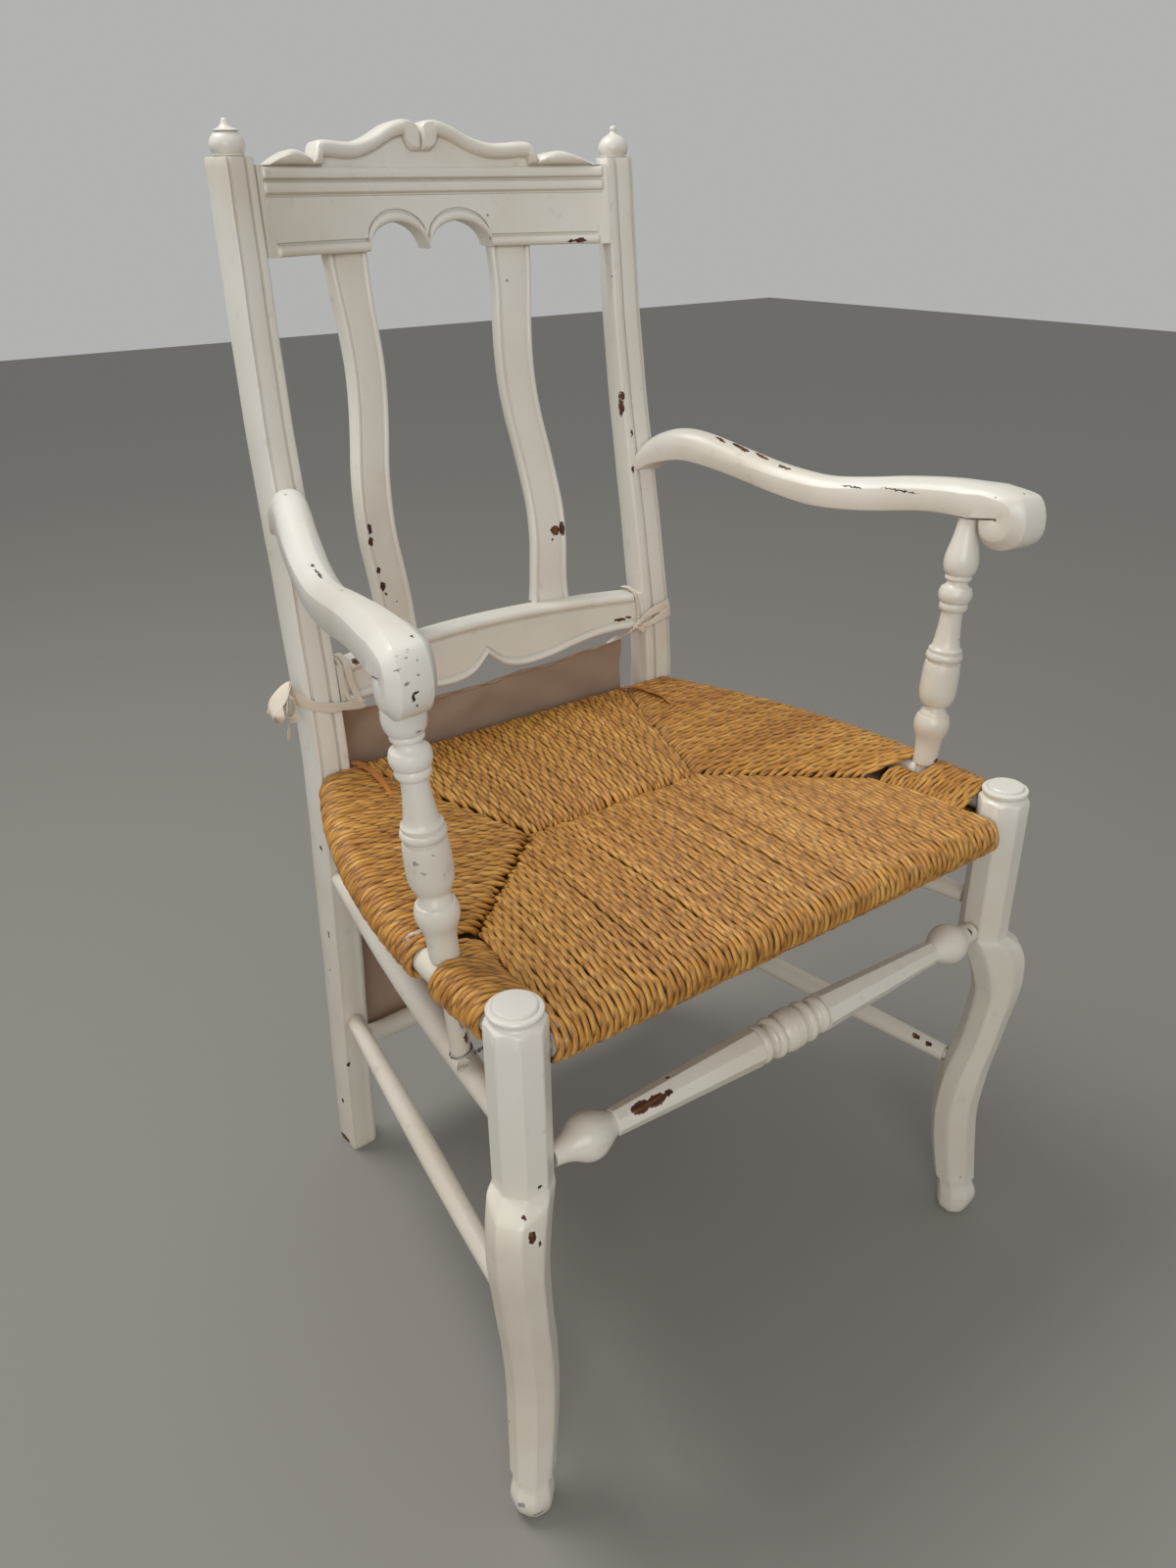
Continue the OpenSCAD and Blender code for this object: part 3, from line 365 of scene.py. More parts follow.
def painted(name, chips, along, seed):
    """Old off-white brush paint: soft mottling, fine grime, painted shade in the hollows and below the
    seat, and its own chips.
    """
    t = Tree(name)
    place = t.map(t.place, location=(seed, seed * 0.7, 0))
    mottle = t.noise(place, 7.0, 3.0)
    fine = t.noise(place, 60.0, 3.0)
    stretch = {"x": (0.12, 1, 1), "y": (1, 0.12, 1), "z": (1, 1, 0.12)}[along]
    strokes = t.noise(t.map(place, scale=stretch), 190.0, 2.0)
    colour = t.mix(t.band(mottle, 0.38, 0.72), PAINT_LIGHT, PAINT_WARM)
    # painted shade: paint darker and warmer below the seat, towards the floor
    colour = t.mix(t.times(t.band(t.part(t.place, "Z"), 0.55, 0.25), 0.42), colour, PAINTED_SHADE_BELOW_SEAT)
    colour = t.mix(t.times(t.band(fine, 0.62, 0.80), 0.25), colour, GRIME_AND_PAINTED_SHADE)
    # painted shade: darker in hollows and where parts meet, from ambient occlusion
    colour = t.mix(t.times(t.band(t.openness(0.009), 0.62, 0.16), 0.55), colour, GRIME_AND_PAINTED_SHADE)
    colour = t.mix(t.times(specks(t, place), 0.8), colour, SPECK)
    colour, bare = chipped(t, colour, chips, stretch)
    normal = t.bump(strokes, 0.22, 0.00035)
    normal = t.bump(fine, 0.12, 0.0006, Normal=normal)
    roughness = t.math("ADD", t.times(mottle, 0.16), 0.21)
    if bare is not None:
        normal = t.bump(t.math("SUBTRACT", 1.0, bare), 0.9, 0.0006, Normal=normal)
        roughness = t.math("ADD", roughness, t.times(bare, 0.3), True)
    return t.finish(colour, roughness, normal)


def specks(t, place):
    """Small dark dots, in a few patches."""
    dots = t.node("TexVoronoi", "Distance", {}, Vector=place, Scale=55.0)
    patches = t.band(t.noise(place, 21.0, 0.0), 0.66, 0.70)
    return t.times(t.band(dots, 0.085, 0.05), patches)


def chipped(t, colour, chips, stretch):
    """Paint colour with its chips, and the share of bare surface, or None where there are no chips."""
    ragged = t.shift(t.place, t.noise(t.place, 330.0, 3.0, 0.65, "Color"), 0.0052)
    ragged = t.map(ragged, location=(-0.0026, -0.0026, -0.0026))
    bare = None
    for kind, (deep, pale, edge) in CHIP_COLOURS.items():
        if kind not in chips:
            continue
        reach = t.nearest(ragged, chips[kind])
        mask = t.band(reach, 1.0, 0.86)
        inside = t.mix(t.band(t.noise(t.map(t.place, scale=stretch), 420.0, 2.0), 0.45, 0.68), deep, pale)
        # ring round each chip; on brown chips it is a pale painted highlight along the broken paint edge
        colour = t.mix(t.times(t.band(reach, 1.45, 1.0), 0.5), colour, edge)
        colour = t.mix(mask, colour, inside)
        bare = mask if bare is None else t.math("MAXIMUM", bare, mask)
    return colour, bare


# Old paint smeared on the rush beside the wood: centre and half-sizes in mm.
SMEARS = [
    (side * x, y, z, *half) for x, y, z, *half in (
        (262, -108, 470, 16, 7, 22), (238, -212, 462, 10, 14, 20), (226, -236, 445, 7, 12, 24),
        (168, 186, 470, 6, 14, 10)) for side in (-1, 1)]
# Colours of the rush, from its darkest strands to its palest
STRAW = ((0.05, (0.17, 0.058, 0.008)), (0.33, (0.44, 0.185, 0.030)), (0.60, (0.68, 0.345, 0.070)),
         (0.95, (0.95, 0.62, 0.22)))


def rush_material():
    """Dry twisted rush: straw, honey and brown strands with fine fibres, painted shade in the twist's
    grooves and in the gaps between strands, and paint smeared on it.
    """
    t = Tree("rush")
    tone = t.node("Attribute", "Fac", {"attribute_name": "tone"})
    along = t.node("UVMap", "UV", {"uv_map": "along"})
    fibre = t.noise(t.map(along, scale=(0.26, 7.0, 1)), 5.0, 4.0, 0.62)
    shades = t.nodes.new("ShaderNodeValToRGB")
    stops = shades.color_ramp.elements
    for stop, (where, shade) in zip(stops, (STRAW[0], STRAW[-1])):
        stop.position = where
        stop.color = (*shade, 1)
    for where, shade in STRAW[1:-1]:
        stops.new(where).color = (*shade, 1)
    patches = t.noise(t.place, 9.0, 2.0)
    mixed = t.math("ADD", t.times(tone, 0.42), t.times(fibre, 0.95))
    mixed = t.math("ADD", mixed, t.times(patches, 0.22))
    t.links.new(t.math("SUBTRACT", mixed, 0.30), shades.inputs[0])
    # painted shade in the grooves between the twisted plies
    lay = t.math("COSINE", t.times(t.part(along, "Y"), 4 * math.pi))
    painted_groove_shade = t.band(lay, -0.35, -0.97)
    colour = t.mix(t.times(painted_groove_shade, 0.62), shades.outputs[0], (0.11, 0.040, 0.010))
    # painted shade: near black in the gaps between strands and where they cross
    colour = t.mix(t.times(t.band(t.openness(0.006), 0.66, 0.14), 0.9), colour, (0.045, 0.017, 0.006))
    smear = t.nearest(t.place, SMEARS)
    blotch = t.times(t.band(smear, 1.1, 0.6), t.band(t.noise(t.place, 210.0, 3.0), 0.50, 0.60))
    colour = t.mix(t.times(blotch, 0.8), colour, (0.66, 0.64, 0.60))
    return t.finish(colour, 0.36, t.bump(fibre, 0.6, 0.0007))


def cloth_material(name, colour, thread):
    """Plain weave with faint stains; thread is the scale of its threads."""
    t = Tree(name)
    weave = t.noise(t.map(t.place, scale=(1, 0.3, 1)), thread, 2.0)
    stain = t.noise(t.place, 9.0, 3.0)
    tint = t.mix(t.band(stain, 0.35, 0.75), colour, tuple(c * 0.80 for c in colour))
    tint = t.mix(t.times(weave, 0.35), tint, tuple(c * 0.72 for c in colour))
    return t.finish(tint, 0.9, t.bump(weave, 0.35, 0.0003))


def cane_material():
    """Split cane with a fine grain along it."""
    t = Tree("cane")
    grain = t.noise(t.map(t.place, scale=(1, 0.08, 1)), 400.0, 2.0)
    colour = t.mix(grain, (0.42, 0.13, 0.018), (0.62, 0.26, 0.05))
    return t.finish(colour, 0.25, t.bump(grain, 0.2, 0.0002))


def wire_material():
    """Grey wire with rust on it."""
    t = Tree("wire")
    t.shader.inputs["Metallic"].default_value = 0.8
    rust = t.noise(t.place, 300.0, 2.0)
    colour = t.mix(t.band(rust, 0.5, 0.65), (0.30, 0.30, 0.31), (0.05, 0.035, 0.028))
    return t.finish(colour, 0.5, t.bump(rust, 0.3, 0.0002))


# ---------------------------------------------------------------- rush seat

RAIL_R = 11.0
STRAND_R = 2.85
STRAND_PITCH = 5.8
WIND_R = RAIL_R + STRAND_R
ROUND_RAIL = np.radians(np.arange(180, -1, -15))    # half a turn, from a rail's underside to its top
FRONT_Y, FRONT_Z = -229.0, 452.0
BACK_Y, BACK_Z = 187.0, 457.0
SIDE_Z = 469.0
RIDGE_X, RIDGE_Y, RIDGE_Z = 93.0, -3.0, 467.0
FRONT_SEAM = (207.0, -105.0)
BACK_SEAM = (157.0, 196.0)
FRONT_HALF = 229.5
BACK_HALF = 168.0
# Stretch of a side rail that its panel is wound on: it starts nearer the arm support on the left
WOUND_FROM, WOUND_TO = {-1: -118.0, 1: -127.0}, 164.0
SIDE_A = np.array([189.0, 175.0])
SIDE_B = np.array([257.0, -212.0])
SIDE_BOW = 26.0
# Where strands of the front panel have parted, and by how much
PARTINGS = [(62.0, 1.5), (34.0, 1.9), (8.0, 1.4), (118.0, 1.3), (-70.0, 1.2), (-128.0, 1.0)]


def side_rail_x(y):
    """Distance of the bowed side rail from the middle of the chair."""
    chord = np.linalg.norm(SIDE_B - SIDE_A)
    radius = (chord ** 2 / 4 + SIDE_BOW ** 2) / (2 * SIDE_BOW)
    along = (SIDE_B - SIDE_A) / chord
    out = np.array([-along[1], along[0]])
    centre = (SIDE_A + SIDE_B) / 2 + out * (SIDE_BOW - radius)
    return centre[0] + np.sqrt(radius ** 2 - (y - centre[1]) ** 2)


def seam_x(y):
    """Half-distance between the seams at a station: the side panels end there."""
    ahead = RIDGE_X + (FRONT_SEAM[0] - RIDGE_X) * (RIDGE_Y - y) / (RIDGE_Y - FRONT_SEAM[1])
    behind = RIDGE_X + (BACK_SEAM[0] - RIDGE_X) * (y - RIDGE_Y) / (BACK_SEAM[1] - RIDGE_Y)
    return np.where(y < RIDGE_Y, ahead, behind)


def seam_y(x, seam):
    """Station where a strand of the front or back panel meets a seam or the ridge."""
    x = abs(x)
    return RIDGE_Y if x < RIDGE_X else RIDGE_Y + (seam[1] - RIDGE_Y) * (x - RIDGE_X) / (seam[0] - RIDGE_X)


def middle_top(y):
    """Height of the seat's top along the middle and the seams."""
    return float(np.interp(y, [FRONT_Y, RIDGE_Y, BACK_Y], [FRONT_Z + 17, RIDGE_Z, BACK_Z + 17]))


def middle_under(y):
    """Height of the seat's underside there."""
    return float(np.interp(y, [FRONT_Y, RIDGE_Y, BACK_Y], [FRONT_Z - 17, FRONT_Z - 12, BACK_Z - 17]))


def distances(path):
    """Distance of each point of a polyline from its start."""
    return np.concatenate([[0], np.cumsum(np.linalg.norm(np.diff(path, axis=0), axis=1))])


def resample(path, places):
    """Points along a polyline at given distances."""
    reach = distances(path)
    return np.stack([np.interp(places, reach, path[:, k]) for k in range(3)], 1)


def wave(rng, s, size, length):
    """Slow random wander along a strand."""
    total = np.zeros_like(s)
    for k in range(3):
        period = length / (1 + 0.7 * k)
        total += math.cos(k) * np.sin(2 * np.pi * s / period + rng.uniform(0, 6.28)) / (1 + k)
    return size * total / 1.5


def circle(side, up, angle):
    """Directions away from a path, for each of its points and each angle round it."""
    return side[:, None, :] * np.cos(angle)[None, :, None] + up[:, None, :] * np.sin(angle)[None, :, None]


class Strands:
    """Gathers twisted strands into one mesh."""

    def __init__(self, seed):
        self.rng = np.random.default_rng(seed)
        self.verts, self.faces, self.uv, self.tone = [], [], [], []
        self.count = 0

    def add(self, path, across, fine, radius=STRAND_R, around=8):
        """path runs from the underside, round the rail, to the seam; closely spaced rings start at fine."""
        rng = self.rng
        path = np.asarray(path, float)
        total = float(np.linalg.norm(np.diff(path, axis=0), axis=1).sum())
        s = np.concatenate([np.arange(0, fine, 5.0), np.arange(fine, total, 2.15), [total]])
        points = resample(path, s)
        tangent = np.gradient(points, axis=0)
        tangent /= np.linalg.norm(tangent, axis=1)[:, None]
        side = np.asarray(across, float) - tangent * (tangent @ np.asarray(across, float))[:, None]
        side /= np.linalg.norm(side, axis=1)[:, None]
        up = np.cross(tangent, side)
        points = points + side * wave(rng, s, 0.5, 90)[:, None] + up * wave(rng, s, 0.35, 60)[:, None]
        pitch = rng.uniform(30, 40)
        phase = rng.uniform(0, 2 * np.pi) + 2 * np.pi * s / pitch + wave(rng, s, 0.5, 70)
        angle = 2 * np.pi * (np.arange(around) + 0.5) / around - np.pi / 2
        size = radius * (1 + wave(rng, s, 0.07, 45) + rng.uniform(-0.05, 0.05))
        lobes = 0.15 * np.cos(2 * (angle[None, :] - phase[:, None]))
        r = size[:, None] * (1 + lobes)
        r[-1] *= 0.4
        ring = points[:, None, :] + r[..., None] * circle(side, up, angle)
        shade = rng.uniform(0.22, 0.78) + wave(rng, s, 0.20, 34)
        self.verts.append(ring.reshape(-1, 3))
        self.faces.extend(loft_faces(len(s), around, self.count))
        self.count += len(s) * around
        twist = (angle[None, :] - phase[:, None]) / (2 * np.pi)
        self.uv.append(np.stack([np.repeat(s[:, None], around, 1) / 10, twist], -1).reshape(-1, 2))
        self.tone.append(np.repeat(shade, around))

    def build(self, name, material):
        return add_object(name, np.concatenate(self.verts), self.faces, material, None,
                          np.concatenate(self.uv), np.concatenate(self.tone))


def dip(t, length, depth=6.0, reach=9.0):
    """How far a strand has sunk near its end, where the next panel's strands cross it."""
    left = (1 - t) * length
    return depth * (1 - ramp(left, 0, reach))


def parting_push(x):
    """How far the strand at x leans away from the gaps between parted strands."""
    return sum(push * math.copysign(math.exp(-abs(x - gap) / 9.0), x - gap) for gap, push in PARTINGS)


def cross_panel(strands, x0, xs, ys, rail_y, rail_z, facing):
    """One strand of the front (facing -1) or back (facing +1) panel, from the underside to the top seam.
    It rounds the rail at x0 and meets the seams at (xs, ys)."""
    rng = strands.rng
    under = middle_under(ys) + STRAND_R
    path = [[xs + (x0 - xs) * t, ys + (rail_y - ys) * t, under + (rail_z - WIND_R - under) * t]
            for t in np.linspace(0, 0.94, 9)]
    for a in ROUND_RAIL:
        path.append([x0, rail_y + facing * WIND_R * math.sin(a), rail_z + WIND_R * math.cos(a)])
    length = math.hypot(xs - x0, ys - rail_y)
    start_z, end_z = rail_z + WIND_R, middle_top(ys) - STRAND_R
    over = rng.uniform(-2.5, 3.5)
    lean = parting_push(x0) if facing < 0 else 0.0
    for t in np.linspace(0.06, 1, 22):
        y = rail_y + (ys - rail_y) * t - facing * over * t ** 8
        crown = 3.4 * math.sin(math.pi * min(1, t * 1.02)) * min(1, length / 120)
        open_up = math.sin(math.pi * min(1.0, t * 1.05)) ** 0.7 if t < 0.95 else 0.0
        z = start_z + (end_z - start_z) * t + crown - dip(t, length)
        path.append([x0 + (xs - x0) * t + lean * open_up, y, z])
    strands.add(path, (1, 0, 0), fine=abs(rail_y - ys) * 0.94 + 8)


def side_panel(strands, y0, ys, sign):
    """One strand of a side panel: from the underside seam, round the rail at y0, to the top seam at ys."""
    rng = strands.rng
    xr, xs = float(side_rail_x(y0)), float(seam_x(ys))
    under = middle_under(ys) + STRAND_R
    path = [[xs + (xr - xs) * t, ys + (y0 - ys) * t, under + (SIDE_Z - WIND_R - under) * t]
            for t in np.linspace(0, 0.9, 7)]
    for a in ROUND_RAIL:
        path.append([xr + WIND_R * math.sin(a), y0, SIDE_Z + WIND_R * math.cos(a)])
    length = math.hypot(xr - xs, y0 - ys)
    start_z, end_z = SIDE_Z + WIND_R, middle_top(ys) - STRAND_R
    over = rng.uniform(-2.5, 3.5)
    for t in np.linspace(0.08, 1, 18):
        x = xr + (xs - xr) * t - over * t ** 8
        z = start_z + (end_z - start_z) * (t ** 1.15) + 2.2 * math.sin(math.pi * t)
        path.append([x, y0 + (ys - y0) * t, z - dip(t, length)])
    path = np.array(path)
    path[:, 0] *= sign
    strands.add(path, (0, 1, 0), fine=abs(xr - xs) * 0.9 + 8)


def spread(low, high, pitch, rng, jitter=0.35):
    """Evenly spaced places, each a little off but for the first and last."""
    count = int(round((high - low) / pitch)) + 1
    places = np.linspace(low, high, count)
    places[1:-1] += rng.uniform(-jitter, jitter, count - 2)
    return places


def build_rush(material, dark):
    """Four panels that meet at the seams, and short turns between each arm support and front leg."""
    front = Strands(11)
    for x0 in spread(-FRONT_HALF, FRONT_HALF, STRAND_PITCH, front.rng):
        xs = x0 * FRONT_SEAM[0] / FRONT_HALF
        cross_panel(front, x0, xs, seam_y(xs, FRONT_SEAM), FRONT_Y, FRONT_Z, -1)
    front.build("rush_front_panel", material)
    back = Strands(12)
    for x0 in spread(-BACK_HALF, BACK_HALF, STRAND_PITCH, back.rng):
        xs = x0 * 0.93
        cross_panel(back, x0, xs, min(seam_y(xs, BACK_SEAM), BACK_Y - 6), BACK_Y, BACK_Z, 1)
    back.build("rush_back_panel", material)
    for sign, side in ((-1, "left"), (1, "right")):
        panel = Strands(13 + sign)
        first = WOUND_FROM[sign]
        for y0 in spread(first, WOUND_TO, STRAND_PITCH, panel.rng):
            u = (y0 - first) / (WOUND_TO - first)
            ys = FRONT_SEAM[1] + (BACK_Y - 8 - FRONT_SEAM[1]) * u
            side_panel(panel, y0, ys, sign)
        panel.build("rush_panel_" + side, material)
        turns = Strands(23 + sign)
        for y0 in spread(-206, -153, 4.9, turns.rng, 0.2):
            short_turn(turns, y0, sign)
        for y0 in (-150, -146, -141.5, -137, -132.5, -128, -124):
            thin_turn(turns, y0, sign)
        turns.build("rush_turns_" + side, material)
    build_stuffing(dark)
    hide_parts("rush_seat")


def short_turn(strands, y0, sign):
    """A turn on the side rail between arm support and leg, tucked under the edge of the front panel."""
    xr = float(side_rail_x(y0))
    inner = FRONT_HALF - 12
    path = [[inner, y0, FRONT_Z - 8], [xr - 8, y0, SIDE_Z - WIND_R]]
    for a in ROUND_RAIL:
        path.append([xr + WIND_R * math.sin(a), y0, SIDE_Z + WIND_R * math.cos(a)])
    for t in np.linspace(0.15, 1, 6):
        path.append([xr + (inner - xr) * t, y0, SIDE_Z + WIND_R - 20 * t * t])
    path = np.array(path)
    path[:, 0] *= sign
    strands.add(path, (0, 1, 0), fine=2.0, radius=2.7)


def thin_turn(strands, y0, sign):
    """A thin strand beside the arm support, running in under the front panel."""
    path = np.array([[246, 2, 470], [240, 1.5, 474], [228, 1, 473], [216, 0, 466], [206, 0, 458]])
    path += (0, y0, 0)
    path[:, 0] *= sign
    strands.add(path, (0, 1, 0), fine=0.0, radius=2.1)


def build_stuffing(material):
    """Padding between the top and bottom strands, only glimpsed in the gaps; its near-black colour is
    painted shade inside the seat.
    """
    rings = []
    for y in np.linspace(FRONT_Y, BACK_Y, 24):
        top, under = middle_top(y) - 7, middle_under(y) + 7
        if y < FRONT_SEAM[1]:
            edge, seam = FRONT_SEAM[0] + 8, FRONT_SEAM[0] - 40
            edge_top, edge_under = top, under
        elif y < 165:
            edge, seam = float(side_rail_x(y)) - 6, float(seam_x(y))
            edge_top, edge_under = SIDE_Z + 9, SIDE_Z - 9
        else:
            edge, seam = BACK_HALF - 2, BACK_SEAM[0] - 10
            edge_top, edge_under = top, under
        half = [(0, top), (seam, top), (edge, edge_top), (edge, edge_under), (seam, under), (0, under)]
        ring = [(x, y, z) for x, z in half] + [(-x, y, z) for x, z in half[-2:0:-1]]
        rings.append(ring)
    return loft("rush_stuffing", rings, material)


# ---------------------------------------------------------------- wooden pieces

POST_TOP = 984.0
FRONT_FACE = [(0, 212), (120, 201), (300, 182), (430, 171), (500, 168.5), (560, 173), (650, 187),
              (750, 204.5), (850, 217.5), (984, 229)]
GROOVE_IN, GROOVE_OUT = 0.33, 0.9   # share of a post's width, from its inner edge, at each groove


def post_section(z):
    """Middle and front face, width, depth and turn of a rear post at a height."""
    mid = curve([(0, 189.5), (480, 191), (984, 183)], z)
    width = curve([(0, 30.6), (480, 31.5), (984, 26.8)], z)
    depth = curve([(0, 32), (480, 33), (984, 28)], z)
    turn = curve([(0, 3), (480, 5), (984, 15)], z)
    return float(mid), float(curve(FRONT_FACE, z)), float(width), float(depth), math.radians(float(turn))


def post_ring(z, seed):
    """Section of a rear post: two grooves on its face above the seat, and blunter edges below it."""
    x, y, width, depth, turn = post_section(z)
    deep = 2.9 * float(ramp(z, 470, 488))
    blunt = 1.8 + 3.2 * float(ramp(460 - z, 0, 20))
    left, right = -width / 2, width / 2
    first, second = left + GROOVE_IN * width, left + GROOVE_OUT * width
    step = 0.25 * deep
    flat = [(left + blunt, 0), (left + blunt + 1, -0.15), (first - 3, -0.25), (first - 1.6, 0),
            (first - 1.0, deep * 0.8), (first, deep), (first + 1.0, deep * 0.8), (first + 1.6, 0),
            (first + 4, -0.3), ((first + second) / 2, -0.3), (second - 3.4, -0.25), (second - 1.9, 0),
            (second - 1.1, deep * 0.85), (second, deep), (second + 0.6, deep * 0.85), (second + 1.3, step),
            (right - 1.4, step), (right - 0.5, step + 0.4), (right, step + 1.4), (right, depth / 2),
            (right, depth - 1.6), (right - 0.5, depth - 0.5), (right - 1.6, depth), (0, depth),
            (left + 1.6, depth), (left + 0.5, depth - 0.5), (left, depth - 1.6), (left, depth / 2),
            (left, blunt), (left + blunt * 0.35, blunt * 0.35)]
    wobble = 0.22 * math.sin(z / 37.0 + seed) + 0.15 * math.sin(z / 13.0 + 2 * seed)
    cos, sin = math.cos(-turn), math.sin(-turn)
    return [(x + (u + wobble) * cos - v * sin, y + (u + wobble) * sin + v * cos, z) for u, v in flat]


def worn_end(rings, drop):
    """Rounds the first and last edges of a loft by adding a slightly smaller ring beyond each end."""
    rings = np.asarray(rings, float)
    ends = []
    for ring, beside in ((rings[0], rings[1]), (rings[-1], rings[-2])):
        centre = ring.mean(0)
        size = np.linalg.norm(ring - centre, axis=1).max()
        away = centre - beside.mean(0)
        away /= np.linalg.norm(away)
        ends.append((centre + (ring - centre) * (1 - drop / size), ring - away * drop))
    (first_in, first_side), (last_in, last_side) = ends
    return np.concatenate([[first_in], [first_side], rings[1:-1], [last_side], [last_in]])


def build_posts():
    heights = np.concatenate([
        np.linspace(0, 440, 45), np.linspace(445, 500, 12), np.linspace(510, POST_TOP, 60)])
    for side, node in ((1, "rear_post_right"), (-1, "rear_post_left")):
        rings = worn_end([post_ring(z, side) for z in heights], 1.0)
        wooden(node + "_wood", node, rings if side > 0 else mirrored(rings), "z", 40)


def turned(node, profile, place, axis, along="z", around=64, tilt=(1, 0, 0), smooth_angle=32, shape=None):
    """Turned piece: (height, radius) points about an axis from a place; shape may bend its outline."""
    axis = np.asarray(axis, float)
    axis /= np.linalg.norm(axis)
    first = np.asarray(tilt, float)
    first = first - axis * (first @ axis)
    first /= np.linalg.norm(first)
    second = np.cross(axis, first)
    angle = 2 * np.pi * np.arange(around) / around
    rings = []
    for height, size in profile:
        radius = np.full(around, float(size)) if shape is None else shape(height, float(size), angle)
        rings.append(np.asarray(place, float) + axis * height + radius[:, None] * (
            np.cos(angle)[:, None] * first + np.sin(angle)[:, None] * second))
    return wooden(node + "_wood", node, rings, along, smooth_angle)


def post_centre(z):
    x, y, _, depth, turn = post_section(z)
    return np.array([x + depth / 2 * math.sin(turn), y + depth / 2 * math.cos(turn), z])


def build_finials():
    """A ball under a flat disc and spire on the left, and under a small knob on the right."""
    ball = [(0, 11.4), (0.7, 12.3), (1.3, 12.3), (1.9, 11.6), (2.6, 12.2), (4.2, 13.1), (6.4, 13.7),
            (8.6, 13.8), (10.8, 13.3), (13.0, 12.2), (14.8, 10.9), (16.2, 9.5), (16.9, 8.6)]
    disc = [(17.2, 8.3), (17.5, 9.7), (17.9, 10.1), (18.4, 9.2), (19.2, 6.8), (20.2, 4.9), (21.6, 3.6),
            (23.2, 2.8), (24.8, 2.4), (25.6, 2.0), (26.1, 1.3), (26.3, 0.4)]
    knob = [(17.7, 7.2), (18.6, 5.6), (19.6, 4.0), (20.6, 3.0), (21.5, 2.6), (22.3, 3.0), (23.4, 3.4),
            (24.6, 3.1), (25.6, 2.2), (26.2, 0.6)]
    for side, node, tip in ((-1, "finial_left", disc), (1, "finial_right", knob)):
        turned(node, ball + tip, post_centre(POST_TOP) * (side, 1, 1), (0, 0, 1))


# Crest rail and lower rail: an outline along X, and a moulded front that stands out from a curved sheet.
CREST_HALF, CREST_SAG, CREST_T, CREST_LEAN, CREST_BOTTOM = 169.7, 46.0, 20.0, 0.08, 912.0
LOW_HALF, LOW_SAG, LOW_T, LOW_LEAN, LOW_TOP = 174.6, 33.0, 19.0, 0.14, 580.0


def arc_y(x, half, sag):
    """How far a bowed rail lies behind its ends."""
    radius = (half * half + sag * sag) / (2 * sag)
    return np.sqrt(radius ** 2 - np.asarray(x, float) ** 2) - (radius - sag)


def crest_y(x, z):
    return float(curve(FRONT_FACE, 940)) + 1 + arc_y(x, CREST_HALF, CREST_SAG) + (z - 940) * CREST_LEAN


def low_y(x, z):
    return float(curve(FRONT_FACE, 555)) + 2 + arc_y(x, LOW_HALF, LOW_SAG) + (z - 555) * LOW_LEAN


def inner_face_x(y, z):
    """Where the inner side of the right-hand rear post is."""
    mid, face, width, _, turn = post_section(z)
    return mid - width / 2 * math.cos(turn) + (y - face - width / 2 * math.sin(turn)) * math.tan(turn)


def flush(ring, side):
    """End ring of a rail, laid against the post on its side."""
    return [(side * (inner_face_x(y, z) - 0.1), y, z) for _, y, z in ring]


LOBES = [(0, 1004), (0.8, 1006.5), (2.2, 1009.4), (5, 1012), (10, 1013.6), (18, 1013.6), (30, 1010),
         (48, 1001.5), (66, 996.5), (80, 996.2), (94, 997.2), (102, 996.6), (106, 993), (109, 985),
         (110.5, 980)]
END_LOBE = [(110.5, 980), (112, 983.5), (118, 987.2), (131, 989.8), (145, 985.5), (158, 979.5),
            (164, 977.5)]
# Two reeds under the roll: height, and how far each point stands out
REEDS = [(977.4, -1.0), (976.8, 0.8), (975.6, 2.2), (972.4, 2.7), (969.6, 2.2), (968.5, 0.6),
         (967.8, -1.9), (966.7, -1.9), (966.0, 0.6), (964.9, 2.0), (961.8, 2.5), (958.9, 1.9),
         (957.8, 0.4), (957.0, -1.9), (955.8, -1.9)]
# Groove and bead along the bottom edge: height above that edge, and how far each point stands out
CREST_BEAD = [(9.8, -1.9), (8.5, -2.0), (7.8, 0.6), (6.6, 2.6), (4.6, 3.8), (2.4, 3.6), (0.8, 2.4),
              (0, 0.6)]


def roll_depth(x):
    """How far the raised roll hangs from the crest's top edge: more in the curls at its middle and ends."""
    x = abs(x)
    if x < 15.5:
        hang = 12.6 + 11.0 * math.sqrt(max(0.0, 1 - ((x - 7.6) / 7.9) ** 2))
        return min(hang, crest_top(x) - 989.5)
    return 12.6 + (crest_top(x) - 978.6 - 12.6) * float(ramp(x, 100.8, 102.6)) if x < 110.5 else 30.0


def crest_top(x):
    x = abs(x)
    if x >= 164:
        return 977.6
    return float(curve(LOBES, x)) if x < 110.5 else float(curve(END_LOBE, x))


def arch(x):
    """Rise of the double arch in the bottom edge."""
    x = abs(x)
    if x >= 62:
        return 0.0
    u = (max(x, 1.5) - 31.5) / 30.5
    return 22.5 * math.sqrt(max(0.0, 1 - u * u)) * min(1.0, x / 1.5)


